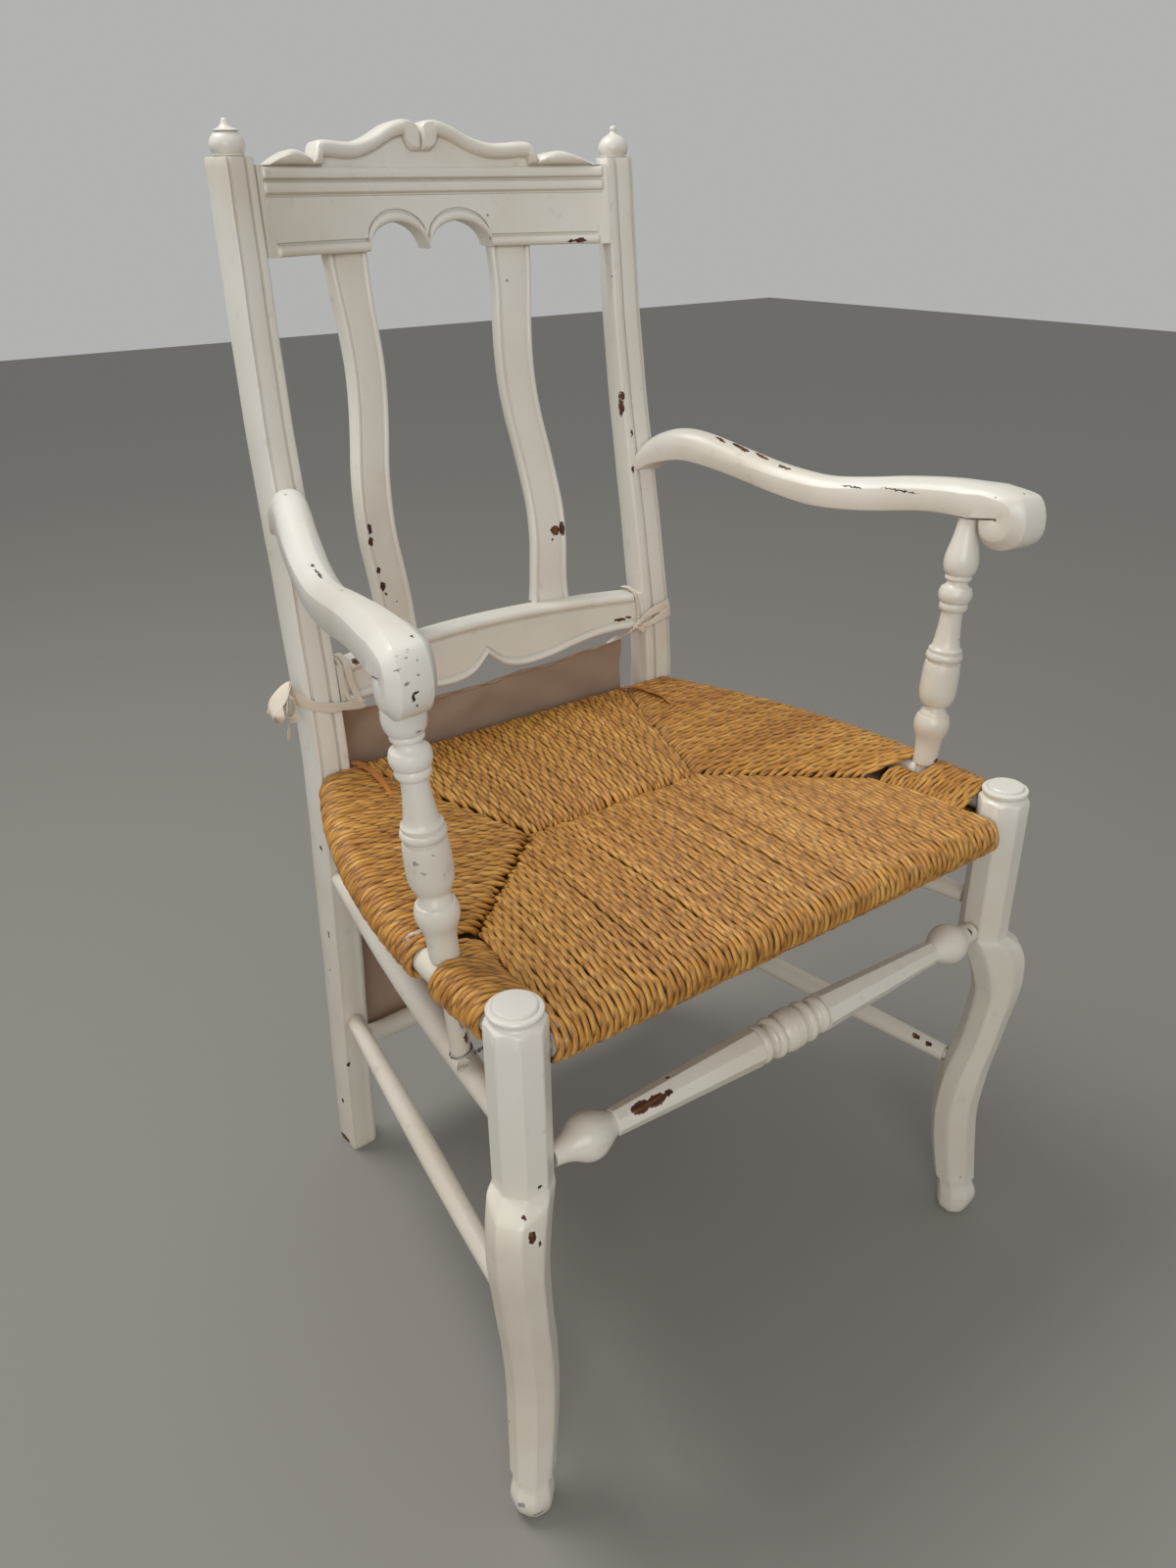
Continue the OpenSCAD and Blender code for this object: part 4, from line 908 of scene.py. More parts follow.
def crest_ring(x):
    """Section of the crest rail: up the back, over the top and down the moulded front."""
    top, bottom = crest_top(x), CREST_BOTTOM + arch(x)
    out = abs(x)
    body = 1 - float(ramp(out, 161, 164.5))
    reeds = 1 - float(ramp(out, 163.5, 166.5))
    edge = 1 - float(ramp(out, 158, 161.5))
    room = min(1.0, (top - 977.0) / 12.0) if out < 164 else 0.05
    cleft = 0.10 + 0.90 * min(1.0, out / 2.4) ** 0.55
    roll = 6.6 * body * max(0.0, room) * cleft
    tall = min(roll_depth(x), top - 978.4)
    # each point of the front is a height and how far it stands out
    front = [(top, -3.0), (top - 0.15, roll * 0.1), (top - 0.7, roll * 0.45), (top - 1.7, roll * 0.74),
             (top - 0.3 * tall, roll * 0.97), (top - 0.5 * tall, roll), (top - tall + 3.4, roll * 0.9),
             (top - tall + 1.8, roll * 0.68), (top - tall + 0.8, roll * 0.36), (top - tall + 0.3, 0.0),
             (top - tall, -0.9 * body), (top - tall - 1.0, -0.5 * body), (top - tall - 2.6, 0.0)]
    front = [(max(z, 978.0 + 0.03 * (13 - k)), p) for k, (z, p) in enumerate(front)]
    front += [(z, p * reeds) for z, p in REEDS]
    front += [(955.0, 0.0), (950, 0.1), (bottom + 18, 0.1), (bottom + 10.6, 0.0)]
    front += [(bottom + z, p * edge) for z, p in CREST_BEAD]
    for k in range(1, len(front)):
        if front[k][0] >= front[k - 1][0]:
            front[k] = (front[k - 1][0] - 0.02, front[k][1])
    back = [(bottom, bottom, 0), (940, 940, 0), (top, top - 1, 2)]
    ring = [(x, crest_y(x, level) + CREST_T - inset, z) for level, z, inset in back]
    return ring + [(x, float(crest_y(x, z)) - p, z) for z, p in front]


def build_crest():
    half = np.concatenate([
        np.linspace(0, 3, 8), np.linspace(3.7, 20, 22), np.linspace(21.4, 54, 22), np.linspace(55, 62, 12),
        np.linspace(63.5, 100, 22), np.linspace(100.6, 103.4, 8), np.linspace(104, 110.4, 9), [110.9],
        np.linspace(111.5, 119, 8), np.linspace(120.5, 157, 24), np.linspace(158, 167, 16)])
    rings = [crest_ring(x) for x in np.concatenate([-half[:0:-1], half])]
    rings = [flush(crest_ring(-CREST_HALF), -1)] + rings + [flush(crest_ring(CREST_HALF), 1)]
    wooden("crest_wood", "crest_rail", rings, "x", 38)


LOW_BOTTOM = [(0, 543.5), (4, 540.5), (9, 536), (16, 530.5), (28, 526), (45, 524.5), (70, 527.5),
              (100, 535), (130, 541.5), (155, 544), (175, 544)]


LOW_TOP_BEAD = [(-0.3, 0.4), (-1.4, 2.0), (-3.4, 3.2), (-5.6, 3.2), (-7.4, 2.2), (-8.4, 0.5), (-9.2, -1.1),
                (-10.0, -1.1)]
LOW_BOTTOM_BEAD = [(8.4, -1.2), (7.6, -1.0), (6.8, 0.8), (5.4, 2.6), (3.4, 3.2), (1.4, 2.4), (0.3, 1.0)]


def low_ring(x):
    """Section of the lower rail, like the crest rail's, with a bead and groove along both edges."""
    bottom, top = float(curve(LOW_BOTTOM, abs(x))), LOW_TOP
    edge = 1 - float(ramp(abs(x), 163, 167))
    front = [(top, -3.0)] + [(top + z, p * edge) for z, p in LOW_TOP_BEAD]
    front += [(top - 10.8, 0.0), (top - 14, 0.1), (bottom + 12, 0.1), (bottom + 9.2, 0.0)]
    front += [(bottom + z, p * edge) for z, p in LOW_BOTTOM_BEAD] + [(bottom, -0.5)]
    back = [(bottom, 0), (555, 0), (top, 1)]
    ring = [(x, low_y(x, z) + LOW_T - inset, z) for z, inset in back]
    return ring + [(x, float(low_y(x, z)) - p, z) for z, p in front]


def build_low_rail():
    xs = np.concatenate([np.linspace(-170, -22, 75), np.linspace(-20, 20, 41), np.linspace(22, 170, 75)])
    rings = [flush(low_ring(-LOW_HALF), -1)] + [low_ring(x) for x in xs] + [flush(low_ring(LOW_HALF), 1)]
    wooden("lower_rail_wood", "lower_back_rail", rings, "x", 38)


SPLAT_MID = [(580, 87), (610, 88), (640, 90.7), (670, 92.5), (700, 91), (730, 87.5), (760, 82.5),
             (790, 79), (820, 78), (850, 79.5), (880, 82), (912, 83)]
SPLAT_FACE = [(580, 219), (610, 220), (640, 223), (670, 229.5), (700, 237), (730, 243.5), (760, 248.5),
              (790, 252), (820, 254.5), (850, 257.5), (880, 260.5), (912, 264.5)]


def splat_ring(z):
    """Section of a back splat, with a bead and groove along both edges of its face."""
    half = 18.5 + float(curve([(580, 2), (600, 0.5), (640, 0), (860, 0), (900, 1.5), (912, 2)], z))
    x, y = float(curve(SPLAT_MID, z)), float(curve(SPLAT_FACE, z))
    turn, thick = math.radians(9.5), 13.0
    edge = [(0, 2.2), (0.5, 0.8), (1.6, -0.5), (3.0, -0.9), (4.4, -0.5), (5.3, 0.5), (6.0, 1.5),
            (6.8, 1.5), (7.6, 0.5), (9, 0.3)]
    face = [(u - half, v) for u, v in edge] + [(0, 0.2)] + [(half - u, v) for u, v in edge[::-1]]
    back = [(half, thick - 2), (half - 0.6, thick - 0.6), (half - 2, thick), (0, thick), (2 - half, thick),
            (0.6 - half, thick - 0.6), (-half, thick - 2)]
    cos, sin = math.cos(turn), math.sin(turn)
    return [(x + u * cos + v * sin, y - u * sin + v * cos, z) for u, v in face + back]


def build_splats():
    wooden_pair("splat", [splat_ring(z) for z in np.linspace(580, 911.9, 90)], "z", 38)


# Arms: a curved bar with wide facets along its upper edges, which run on round the scroll at its front and
# blend into plain rounding near the post.
ARM_MID = [(-190, 287), (-150, 281), (-100, 273), (-50, 263.5), (0, 252.5), (50, 240.5), (100, 226),
           (150, 210), (205, 194)]
ARM_WIDTH = [(-200, 36.5), (-170, 36.5), (-150, 35), (-100, 29), (-50, 26.5), (0, 27), (60, 29.5),
             (110, 31), (160, 31.5), (205, 32.5)]
ARM_TOP = [(-165, 734), (-137, 735), (-112, 734), (-75, 730), (-37, 724), (-2, 720), (25, 721), (60, 726),
           (99, 736), (130, 744), (153, 746.5), (172, 743), (190, 734), (199, 725)]
ARM_UNDER = [(-165, 707), (-118, 707), (-92, 704.5), (-54, 698), (-16, 694), (16, 694), (52, 700),
             (89, 709), (129, 717), (152, 718), (181, 711), (199, 702)]
SCROLL_Y, SCROLL_Z = -172.0, 710.0


def post_face_y(x, z):
    """Where the front face of the right-hand rear post is."""
    mid, face, _, _, turn = post_section(z)
    return face - (x - mid) * math.tan(turn)


def arm_station(inner, outer, facet, deep):
    """Ring between a point on the arm's underside, or the scroll's heart, and one on its top, as (y, z)."""
    inner, outer = np.array(inner, float), np.array(outer, float)
    length = np.linalg.norm(outer - inner)
    way = (outer - inner) / length
    half = float(curve(ARM_WIDTH, outer[0])) / 2
    crisp = np.array([(half - facet - 0.5, length), (half - facet + 0.5, length - 0.3),
                      (half - facet * 0.5, length - deep * 0.5), (half - 0.4, length - deep + 0.2),
                      (half, length - deep - 0.7)])
    blunt = np.array([(half - 11.0, length - 0.3), (half - 7.0, length - 2.2), (half - 3.6, length - 5.4),
                      (half - 1.0, length - 9.6), (half, length - 14.0)])
    share = float(ramp(outer[0], 60, 125))
    right = [tuple(p) for p in crisp + (blunt - crisp) * share]
    right += [(half, length * 0.4), (half, min(1.6, length * 0.2)), (half - 0.5, min(0.5, length * 0.08)),
              (half - 1.8, 0.0)]
    flat = [(0.0, length + 0.25)] + right + [(0.0, 0.0)] + [(-u, v) for u, v in right[::-1]]
    drop = 4.5 * float(ramp(outer[0], 50, 120) - ramp(outer[0], 150, 198))
    ring = []
    for u, v in flat:
        y, z = inner + way * v
        x = float(curve(ARM_MID, y)) + u
        z -= drop * max(0.0, u / half) * (1 - v / length)
        ring.append((x, y - 0.15 * u * float(ramp(-outer[0], 110, 150)), z))
    return ring


def arm_rings():
    """Rings from the rear post forwards along the bar, then down and back round the scroll to its heart."""
    rings = []
    for y in np.concatenate([[198.5], np.linspace(190, -138, 100)]):
        rings.append(arm_station((y, float(curve(ARM_UNDER, y))), (y, float(curve(ARM_TOP, y))), 9.5, 8.4))
    rings[0] = [(x, post_face_y(min(x, 200.0), z) - 0.15, z) for x, _, z in rings[0]]
    for angle in np.linspace(104, 350, 62):
        # 90 degrees is straight up, and the angle grows forwards and down
        turn = math.radians(angle)
        share = float(ramp(angle, 104, 132))
        radius = 24.9 - 1.9 * float(ramp(angle, 104, 170)) + 3.2 * float(ramp(angle, 170, 235))
        radius -= 5.0 * float(ramp(angle, 280, 350))
        way = np.array([math.cos(turn), math.sin(turn)])
        outer = np.array([SCROLL_Y, SCROLL_Z]) + way * radius + np.array([18.0, 1.2]) * (1 - share) ** 2
        heart = np.array([SCROLL_Y + 26 * (1 - share), SCROLL_Z - 3 * (1 - share)])
        deep = 7.6 + 1.2 * math.sin(math.pi * min(1, (angle - 104) / 200))
        rings.append(arm_station(heart + way * 1.2 * share, outer, 9.5 - 2.0 * share, deep))
    return np.array(rings)[:, ::-1]


def build_arms():
    wooden_pair("arm", arm_rings(), "y", 30)


# Turned supports under the arms.
SUPPORT_LOW = np.array([248.2, -140.0, 392.0])
SUPPORT_HIGH = np.array([273.6, -140.0, 706.2])


def rounded(z0, z1, radius, bulge, count):
    """Heights and radii of a bead or ring between two heights."""
    return [(z0 + (z1 - z0) * u, radius + bulge * math.sin(math.pi * u))
            for u in np.linspace(0, 1, count + 1)]


def support_outline():
    """Height and radius of an arm support, from its lower end to the arm."""
    rod = [(392.4, 7.4), (394, 7.9), (400, 7.6), (430, 7.4), (470, 7.6), (479.6, 7.6)]
    foot = [(480.2, 9.6), (481.4, 10.8), (484, 11.1), (492, 11.0), (499, 11.2), (504, 11.9), (508, 13.1)]
    bulb = [(511.5, 14.5), (515, 15.5), (518.5, 16.0), (522, 15.8), (525.5, 14.9), (527.6, 13.9)]
    neck = [(528.2, 12.6), (529.2, 12.5), (531.5, 11.4), (534, 10.0), (536, 9.4), (537.4, 9.7)]
    barrel = [(538, 11.2), (539.2, 13.2), (541.6, 14.3), (544.4, 15.4), (548.5, 16.1), (553, 16.4),
              (561, 16.4), (569, 16.2), (575, 15.8), (577.4, 15.2), (578.2, 13.6), (579.2, 13.4),
              (580, 14.8)]
    barrel += rounded(580.6, 586.4, 15.2, 0.9, 5)
    waist = [(587, 13.9), (587.8, 13.8), (588.6, 14.6), (590.4, 14.5), (591.4, 13.2), (594, 12.0),
             (600, 11.1), (607, 10.3), (615, 9.6), (622, 9.3), (624.4, 9.5), (625.4, 11.2)]
    rings = rounded(626.4, 631.6, 11.8, 0.6, 4) + [(632.4, 11.4), (633.2, 12.4)]
    rings += rounded(634, 645, 13.2, 1.3, 8)
    rings += [(646.2, 11.6), (647.4, 10.0), (649.4, 9.1), (651.4, 9.0), (652.2, 10.4), (653, 11.3),
              (654.6, 11.6), (655.8, 11.2), (656.4, 11.0), (657.2, 11.6)]
    pear = [(659, 13.0), (661.5, 14.0), (664.5, 14.6), (668, 14.8), (672, 14.5), (677, 13.5), (683, 12.0),
            (689, 10.6), (695, 9.6), (700, 9.1), (703, 9.1), (705.5, 9.4)]
    return rod + foot + bulb + neck + barrel + waist + rings + pear


def build_supports():
    length = np.linalg.norm(SUPPORT_HIGH - SUPPORT_LOW)
    profile = [((z - 392) * length / 314.2, radius) for z, radius in support_outline()]
    for side, node in ((1, "arm_support_right"), (-1, "arm_support_left")):
        flip = np.array([side, 1, 1])
        turned(node, profile, SUPPORT_LOW * flip, (SUPPORT_HIGH - SUPPORT_LOW) * flip, around=56)


# Front legs: an eight-sided block over a swept lower leg with a shouldered knee and a small hoof.
LEG_X, LEG_Y, LEG_TURN = 254.0, -228.0, 4.0
SHOULDER, ANKLE, BLOCK_TOP = 343.0, 44.0, 481.0
BLOCK_HALF = 20.5
KNEE_OUT = [(0, 14), (10, 15.5), (18, 16.5), (28, 15.5), (41, 12), (60, 9), (96, 4), (135, 1), (179, 4.5),
            (217, 12), (250, 17), (277, 20.5), (295, 19.5), (318, 14.5), (331, 9), (343, 3.5)]
KNEE_DEPTH = [(0, 11.5), (3, 14.2), (10, 16.4), (18, 17.8), (28, 18.8), (41, 19), (96, 20.5),
              (135, 20.5), (179, 20.3), (217, 18.8), (250, 19.2), (277, 20.5), (295, 22.5), (318, 25.5),
              (331, 26), (343, 24)]
KNEE_WIDTH = [(0, 12.5), (3, 14.8), (10, 16.2), (18, 16.8), (41, 17.3), (60, 17.8), (96, 19),
              (150, 19.8), (250, 20.6), (318, 22), (343, 22.5)]


def octagon(depth, width, soft):
    """Points round a section with eight sides; soft from 0 (sharp) to 1 (nearly round)."""
    k = math.tan(math.pi / 8)
    corners = np.array([(depth, k * width), (k * depth, width), (-k * depth, width),
                        (-depth, k * width), (-depth, -k * width), (-k * depth, -width),
                        (k * depth, -width), (depth, -k * width)])
    points = []
    for i in range(8):
        a, b = corners[i], corners[(i + 1) % 8]
        for u in (0.05, 0.28, 0.5, 0.72, 0.95):
            p = a + (b - a) * u
            q = p / np.hypot(p[0] / depth, p[1] / width) * 1.035
            points.append(p + (q - p) * soft)
    return np.array(points)


def leg_ring(z):
    """Section of a front leg under its block: swept, with a shouldered knee, an ankle and a hoof."""
    out, depth, width = (float(curve(t, z)) for t in (KNEE_OUT, KNEE_DEPTH, KNEE_WIDTH))
    soft = 0.03 + 0.42 * float(ramp(ANKLE - z, 6, 36))
    low = octagon(depth, width, soft)
    low[:, 0] += out
    if z < ANKLE:
        shrink = 2.4 * (1 - float(ramp(ANKLE - z, 6, 24)))
        centre = np.array([out, 0.0])
        low = centre + (low - centre) * (1 - shrink / 18.0)
    if z > SHOULDER - 20:
        high = octagon(BLOCK_HALF, BLOCK_HALF, 0.02)
        across = np.abs(low[:, 1]) / width
        reach = np.where(low[:, 0] > out, 13.0, 19.0) * (1 - 0.62 * ramp(across, 0.6, 0.95))
        share = np.clip((SHOULDER - z) / reach, 0, 1)[:, None]
        low = high + (low - high) * (1 - (1 - share) ** 1.6)
    return placed_on_leg(low, z)


def block_ring(z, half=BLOCK_HALF, soft=0.02):
    return placed_on_leg(octagon(half, half, soft), z)


def placed_on_leg(ring, z):
    """A flat section turned outwards and set on the right-hand front leg's axis."""
    a = math.radians(LEG_TURN - 45)
    ring = ring @ np.array([[math.cos(a), math.sin(a)], [-math.sin(a), math.cos(a)]])
    return np.column_stack([ring + (LEG_X, LEG_Y), np.full(len(ring), z)])


def build_legs():
    low = np.concatenate([
        [0.0, 0.8, 2.0, 4.0, 7.0], np.linspace(10, ANKLE - 2.6, 12), [ANKLE - 1.4, ANKLE + 0.1],
        np.linspace(ANKLE + 2, SHOULDER - 20, 80), np.linspace(SHOULDER - 19, SHOULDER - 0.4, 16)])
    rings = [leg_ring(z) for z in low]
    rings += [block_ring(z) for z in np.linspace(SHOULDER + 0.6, BLOCK_TOP - 1.6, 12)]
    rings.append(block_ring(BLOCK_TOP - 0.5, BLOCK_HALF - 0.4, 0.08))
    rings.append(block_ring(BLOCK_TOP, 20.2 / (1 + 0.035 * 0.55), 0.55))
    cap = [(0.8, 19.4), (1.6, 18.2), (2.6, 17.7), (3.8, 17.8), (5.0, 18.7), (6.4, 19.5), (8.0, 19.6),
           (9.0, 18.9), (9.5, 17.6), (9.6, 16.2), (9.4, 15.6), (10.2, 15.4), (11.2, 15.2), (11.9, 14.4),
           (12.1, 12.6), (12.1, 6.0)]
    rings += [block_ring(BLOCK_TOP + height, radius / 1.035, 1) for height, radius in cap]
    wooden_pair("front_leg", rings, "z", 22)


def build_front_stretcher():
    """Rings in the middle, tapered eight-sided arms, and a bulb near each leg."""
    middle = [(0.0, 17.6), (2.0, 17.6), (3.4, 17.5), (4.0, 17.0), (4.6, 17.4), (7.0, 16.9), (9.0, 16.1),
              (10.8, 14.9), (12.0, 13.9), (12.9, 14.2), (13.6, 15.9)]
    middle += rounded(14.4, 19.6, 16.5, 0.8, 6)
    middle += [(20.4, 15.6), (21.2, 12.9), (22.6, 12.0), (24.4, 11.8), (26.4, 12.3), (27.6, 13.2),
               (28.4, 14.7)]
    middle += rounded(29, 34.4, 15.1, 0.7, 5) + [(35.2, 14.4), (36.2, 13.4)]
    facets = [(37.0 + 139 * u, 14.9 - 5.1 * u) for u in np.linspace(0, 1, 40)]
    bulb = [(178 + 34 * u, 9.2 + 8.9 * math.sin(math.radians(150) * u ** 1.15))
            for u in np.linspace(0, 1, 24)]
    end = [(177.0, 9.0)] + bulb + [(216, 11.6), (221, 9.8), (227, 8.8), (231.6, 8.5)]
    half = middle + facets + end
    profile = [(-s, radius) for s, radius in half[:0:-1]] + half
    faceted = {s for s, _ in facets}

    def shape(s, radius, angle):
        wedge = (angle % (math.pi / 4)) - math.pi / 8
        flats = np.minimum(radius / np.cos(wedge), radius * 1.078)
        return flats if abs(s) in faceted else np.full(len(angle), radius)

    turned("front_stretcher", profile, (0, LEG_Y - 2, 351), (1, 0, 0), "x", tilt=(0, 1, 0),
           smooth_angle=24, shape=shape)


# ---------------------------------------------------------------- cloth, tapes, wire and cane

CLOTH_TOP = [(-172, 533), (-160, 527.5), (-148, 524.5), (-127, 519.5), (-67, 511.5), (6, 512.5),
             (83, 515.5), (145, 520), (162, 524.5), (174, 530)]
CLOTH_FACE = [(120, 229.5), (146, 229), (165, 227), (300, 214), (430, 208.5), (535, 206)]
CLOTH_HALF, CLOTH_LOW, CLOTH_THICK = 168.5, 128.0, 0.7


def cloth_point(x, z):
    """Point of the cloth: soft folds that start at its two upper corners, deeper near the bottom."""
    pull = math.exp(-((abs(x) - 172) / 26.0) ** 2)
    low = float(ramp(430 - z, 0, 260))
    fold = 1.4 * math.sin(x / 21.0 + 0.5 * math.sin(z / 90.0)) + 0.9 * math.sin(x / 9.5 + z / 70.0)
    tension = 1.9 * math.sin((abs(x) * 0.7 + (z - 520) * 1.3) / 10.0) * math.exp(-((z - 520) / 45.0) ** 2)
    y = float(curve(CLOTH_FACE, z)) + 1.8 + (0.35 + low) * fold * 0.9
    return x, y + tension + 2.2 * (1 - low) - 3.0 * pull, z


def build_cloth(material):
    """Two layers of points a cloth's thickness apart, joined round their rim, and a rolled hem on top."""
    nx, nz = 121, 110
    xs = np.linspace(-CLOTH_HALF, CLOTH_HALF, nx)
    front = []
    for u in np.linspace(0, 1, nz):
        for x in xs:
            top = float(curve(CLOTH_TOP, x))
            bottom = CLOTH_LOW + 2.0 * math.sin(x / 40.0)
            z = top + (bottom - top) * u
            front.append(cloth_point(x, z))
    front = np.array(front)
    back = front + (0, CLOTH_THICK, 0)
    i, j = np.meshgrid(np.arange(nz - 1), np.arange(nx - 1), indexing="ij")
    a = (i * nx + j).ravel()
    quads = np.stack([a, a + nx, a + nx + 1, a + 1], -1)
    faces = quads.tolist() + (quads[:, ::-1] + nx * nz).tolist()
    rim = [(0, k) for k in range(nx)] + [(k, nx - 1) for k in range(1, nz)]
    rim += [(nz - 1, k) for k in range(nx - 2, -1, -1)] + [(k, 0) for k in range(nz - 2, 0, -1)]
    rim = [row * nx + column for row, column in rim]
    total = nx * nz
    faces += [[p, q, q + total, p + total] for p, q in zip(rim, rim[1:] + rim[:1])]
    cloth = add_object("cloth_sheet", np.concatenate([front, back]), faces, material, 60)
    top_edge = [cloth_point(x, float(curve(CLOTH_TOP, x)) - 0.6) for x in np.linspace(-166, 166, 70)]
    return cloth, ribbon("cloth_hem", top_edge, (0, 0.1, 1), 3.4, 2.2, material)


def smooth_path(points, step=1.6):
    """Closely spaced points on a smooth curve through a few given ones."""
    points = np.asarray(points, float)
    reach = distances(points)
    s = np.linspace(0, reach[-1], max(6, int(reach[-1] / step)))
    return np.stack([curve(list(zip(reach, points[:, k])), s) for k in range(points.shape[1])], 1)


def ribbon(name, path, across, width, thick, material, ring=10):
    """Flat tape along a path; across and width may be one value or one for each given point."""
    path = np.asarray(path, float)
    n = len(path)
    across = np.broadcast_to(np.asarray(across, float), (n, 3))
    width = np.broadcast_to(np.asarray(width, float), (n,))
    dense = smooth_path(np.column_stack([path, across, width]))
    points, side, wide = dense[:, :3], dense[:, 3:6], dense[:, 6]
    tangent = np.gradient(points, axis=0)
    tangent /= np.linalg.norm(tangent, axis=1)[:, None]
    side = side - tangent * (side * tangent).sum(1)[:, None]
    side /= np.linalg.norm(side, axis=1)[:, None]
    up = np.cross(tangent, side)
    a = 2 * np.pi * np.arange(ring) / ring
    u = np.sign(np.cos(a)) * np.abs(np.cos(a)) ** 0.5
    v = np.sign(np.sin(a)) * np.abs(np.sin(a)) ** 0.8
    crease = 0.35 * np.sin(np.arange(len(points)) / 3.1)[:, None] * np.sin(2.2 * u)[None, :]
    rings = points[:, None, :] + side[:, None, :] * (u[None, :] * wide[:, None] / 2)[..., None]
    rings = rings + up[:, None, :] * ((v * thick / 2)[None, :] + crease * thick)[..., None]
    return loft(name, rings, material, 50)


# Cloth tapes: round the post, over the end of the lower rail, a bow on the left and a knot on the right.
# Each one is a route, the direction across it, its widths and its thickness.
TAPES = {
    # left: band across the post, up and outwards to the bow
    "tape_left_band": ([(-152, 175, 538), (-160, 172.6, 541), (-168, 170.6, 543.5), (-178, 170, 546),
        (-193, 170.2, 549), (-203, 171, 553), (-211, 173, 559), (-216, 174, 564), (-220, 174, 571),
        (-223, 173.5, 578)],
        [(0.3, 0, 1)] * 6 + [(0.5, 0, 0.8)] * 4, [3, 6, 7.5, 8, 8.5, 8, 7.5, 6.5, 5.5, 4], 0.9),
    "tape_left_band_2": ([(-150, 178, 541), (-160, 174, 545), (-171, 171.2, 545.5), (-182, 169.6, 544.5),
        (-194, 169.8, 547.5), (-206, 171.5, 552), (-213, 175, 556), (-216, 182, 557), (-214, 196, 554),
        (-205, 208, 550), (-190, 210.5, 548), (-176, 208, 545)],
        (0, 0.1, 1), [4, 5, 6, 6.5, 6, 6, 6, 7, 8, 8, 8, 8], 0.8),
    # its bow: a full loop seen from the side, and a shorter one in front of it
    "tape_left_bow": ([(-222, 173, 579), (-229, 168, 576), (-238, 163, 569), (-245, 163, 561),
        (-243, 166, 553.5), (-235, 172, 552), (-228, 177, 556), (-224, 179, 566), (-221, 177, 577)],
        [(-0.2, 1, 0.2)] * 3 + [(0.1, 1, 0.1)] * 3 + [(0, 1, 0)] * 3,
        [5, 12, 17, 18, 17, 15, 13, 10, 5], 0.8),
    "tape_left_bow_2": ([(-222, 172, 580), (-228, 166, 573), (-233, 161, 563), (-233, 160, 553),
        (-226, 163, 550), (-221, 168, 554), (-219.5, 172, 563), (-220.5, 174, 573)],
        (0.25, 1, 0), [4, 9, 13, 14, 13, 10, 7, 4], 0.8),
    "tape_left_tail": ([(-222, 173, 562), (-225, 171, 552), (-227, 170, 544), (-229, 169, 536),
        (-230, 169, 528.5)],
        [(1, 0.3, 0), (1, 0.4, 0), (0.8, 0.8, 0), (1, 0.3, 0), (0.9, 0.5, 0)], [4, 4, 3.2, 4.4, 4.6], 0.7),
    # its strap over the end of the lower rail
    "tape_left_strap": ([(-164, 206, 576), (-164, 201, 583.5), (-163.5, 188, 584), (-163.3, 180.4, 580),
        (-163, 178.6, 573), (-161.5, 177.6, 562), (-158.5, 176.4, 551), (-156.5, 174.6, 544),
        (-155, 174.6, 540)], [(1, 0, 0)] * 5 + [(1, 0, 0.15)] * 4, [7, 7, 7, 7, 7, 6.5, 6.5, 6, 4], 0.9),
    "tape_left_strap_2": ([(-170, 200, 583.5), (-170, 188, 584.4), (-170, 181, 581), (-170.5, 178, 573),
        (-170, 176.6, 562), (-168, 174.8, 552), (-166, 173, 545)],
        (1, -0.3, 0.1), [3, 3, 3.2, 3.4, 3.4, 3.2, 3], 0.8),
    # right: knot at the corner of the cloth, its ends laid out across the post
    "tape_right_upper": ([(160, 172.4, 549), (166, 169.6, 553), (174, 168.6, 558.5), (184, 168.4, 562),
        (194, 168.8, 563.5), (204, 170.4, 566)], [(0, 0.1, 1)] * 6, [3.5, 4.5, 6.5, 8.5, 10, 8], 0.9),
    "tape_right_lower": ([(160, 172, 547.5), (168, 168.8, 548), (178, 167.6, 549.5), (190, 167.4, 553),
        (199, 168, 556), (206, 170.5, 556)], [(0, 0.1, 1)] * 6, [3.5, 4.5, 6, 8.5, 10.5, 11], 0.9),
    "tape_right_end": ([(204, 170, 560), (208.5, 176, 561), (209, 190, 560), (204, 202, 557),
        (190, 210, 553), (176, 209, 548), (170, 200, 541)], (0, 0, 1), [12, 10, 8, 8, 8, 8, 8], 0.8),
    "tape_right_knot": ([(165, 172, 553), (161, 169, 551), (158.6, 169.5, 547), (161, 172, 544),
        (164.5, 171, 546), (164, 168.4, 550), (160.5, 168.2, 550.5), (158, 171, 548)],
        (0.5, -0.4, 0.7), [4, 4.5, 5, 5, 4.5, 4.5, 4, 3], 1.5),
    "tape_right_corner": ([(161, 171.5, 547), (157, 178, 541), (154, 188, 534), (152, 198, 528),
        (148, 205, 523)], (0.7, 0, 0.7), [4, 5, 6, 6, 4], 1.2),
    "tape_right_tag": ([(162, 170, 547), (167, 168.6, 544.5), (170, 168.4, 542)],
        (0.3, 0, 1), [3, 5, 6], 0.8),
    "tape_right_strap": ([(167, 202, 583), (167.3, 190, 584), (167.5, 180.6, 580), (168, 177.6, 572),
        (168, 175.6, 562), (166.5, 173.4, 553), (163, 171.4, 548)],
        (1, 0.2, 0), [6, 6, 6, 6, 5.5, 5, 4], 0.8),
}


def build_ties(material):
    return [ribbon(name, path, across, widths, thick, material)
            for name, (path, across, widths, thick) in TAPES.items()]


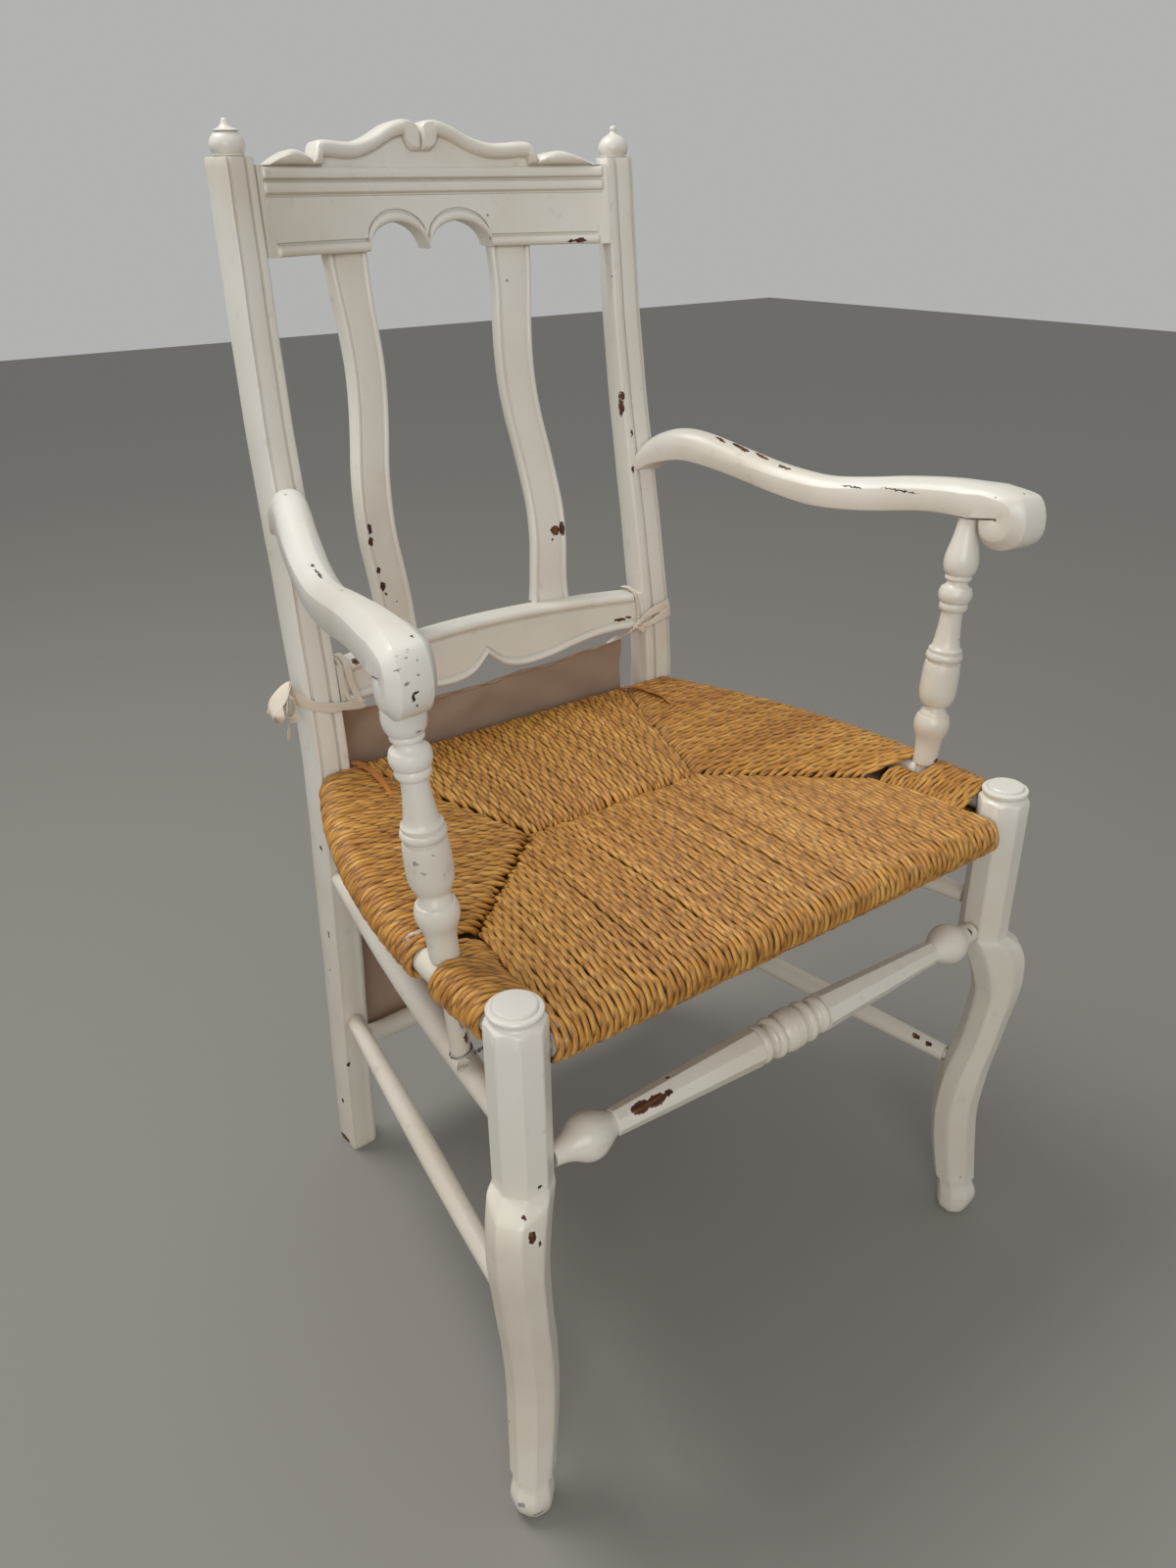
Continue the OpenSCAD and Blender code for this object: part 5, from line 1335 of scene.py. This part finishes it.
def build_wire(material):
    """Thin wire: a turn round the rod of the left arm support, and its twisted ends sticking out."""
    low = SUPPORT_LOW * (-1, 1, 1)
    axis = (SUPPORT_HIGH - SUPPORT_LOW) * (-1, 1, 1)
    axis = axis / np.linalg.norm(axis)
    across = np.cross(axis, (0, 1, 0))
    across /= np.linalg.norm(across)
    third = np.cross(axis, across)
    ring = []
    for t in np.linspace(0, 1.93 * np.pi, 40):
        out = (8.7 + 0.4 * math.sin(2 * t)) * (across * math.cos(t) + third * math.sin(t))
        ring.append(low + axis * (2.5 + 2.2 * math.sin(t - 0.9)) + out)
    turn = tube("wire_turn", ring, 0.65, material)
    knot = np.array([-241.0, -146.0, 391.5])
    ends = []
    for phase in (0.0, math.pi):
        path = []
        for s in np.linspace(0, 1, 26):
            sway = math.cos(9 * s + phase)
            curl = (sway * 0.4, sway * 0.6, math.sin(9 * s + phase))
            path.append(knot + np.array([8.5, -3.5, 5.0]) * s + curl)
        path.append(path[-1] + np.array([2.2 if phase else -1.0, -0.5, 2.4]))
        ends.append(tube("wire_end_" + ("a" if phase else "b"), path, 0.7, material))
    return [turn] + ends


def tube(name, path, radius, material, around=10):
    """Round wire along a path."""
    points = np.asarray(path, float)
    tangent = np.gradient(points, axis=0)
    tangent /= np.linalg.norm(tangent, axis=1)[:, None]
    side = np.cross(tangent, (0.2, 0.1, 1.0))
    side /= np.linalg.norm(side, axis=1)[:, None]
    up = np.cross(tangent, side)
    angle = 2 * np.pi * np.arange(around) / around
    return loft(name, points[:, None, :] + radius * circle(side, up, angle), material, 50)


def build_cane(material):
    """Strips of cane wedged beside the rear seams, bowed up a little from the rush."""
    left = [(-161, 197, 475), (-160.4, 180, 479.0), (-160.6, 157, 481), (-163.5, 130, 481.5),
            (-167.5, 105, 479)]
    right = [(152, 186, 476), (157, 168, 480.5), (161.5, 150, 481.5), (163.5, 128, 481.0),
             (162.5, 108, 478.5)]
    widths = [3.4, 5.2, 6.0, 5.6, 3.4]
    return [ribbon("cane_left", left, (0.8, 0, 0.6), widths, 1.6, material),
            ribbon("cane_right", right, (0.8, 0, -0.6), widths, 1.6, material)]


def build_soft_parts():
    """Cloth with its hem and tapes, wire and cane."""
    linen = cloth_material("linen", (0.42, 0.295, 0.215), 300.0)
    tape = cloth_material("tape", (0.80, 0.71, 0.60), 420.0)
    cloth, hem = build_cloth(linen)
    ties = build_ties(tape)
    stand_for(cloth, "back_cloth")
    for piece in ties:
        side = "left" if "_left_" in piece.name else "right"
        stand_for(piece, "tie_" + side)
    for piece in build_wire(wire_material()):
        stand_for(piece, "wire_wrap")
    for piece in build_cane(cane_material()):
        stand_for(piece, "corner_strip_" + piece.name[5:])


# ---------------------------------------------------------------- everything together

# Where each piece's paint is taken from the noise, so that no two are alike
SEEDS = {node: 0.37 * i for i, node in enumerate(sorted(NODES))}


def paint_for(node, along):
    return painted("paint_" + node, CHIPS.get(node, {}), along, SEEDS[node])


add_camera()
add_stage()
build_posts()
build_finials()
build_crest()
build_low_rail()
build_splats()
build_arms()
build_supports()
build_legs()
build_front_stretcher()
for node in ("upper_side_stretcher_left", "upper_side_stretcher_right", "lower_side_stretcher_left",
             "lower_side_stretcher_right", "rear_stretcher", "seat_rail_front", "seat_rail_back",
             "seat_rail_left", "seat_rail_right"):
    NODES[node].data.materials.clear()
    NODES[node].data.materials.append(paint_for(node, "y" if node.endswith(("left", "right")) else "x"))
build_soft_parts()
# the stuffing's near-black colour is painted shade inside the seat
build_rush(rush_material(), plain_material("stuffing", (0.05, 0.028, 0.012), 0.9))
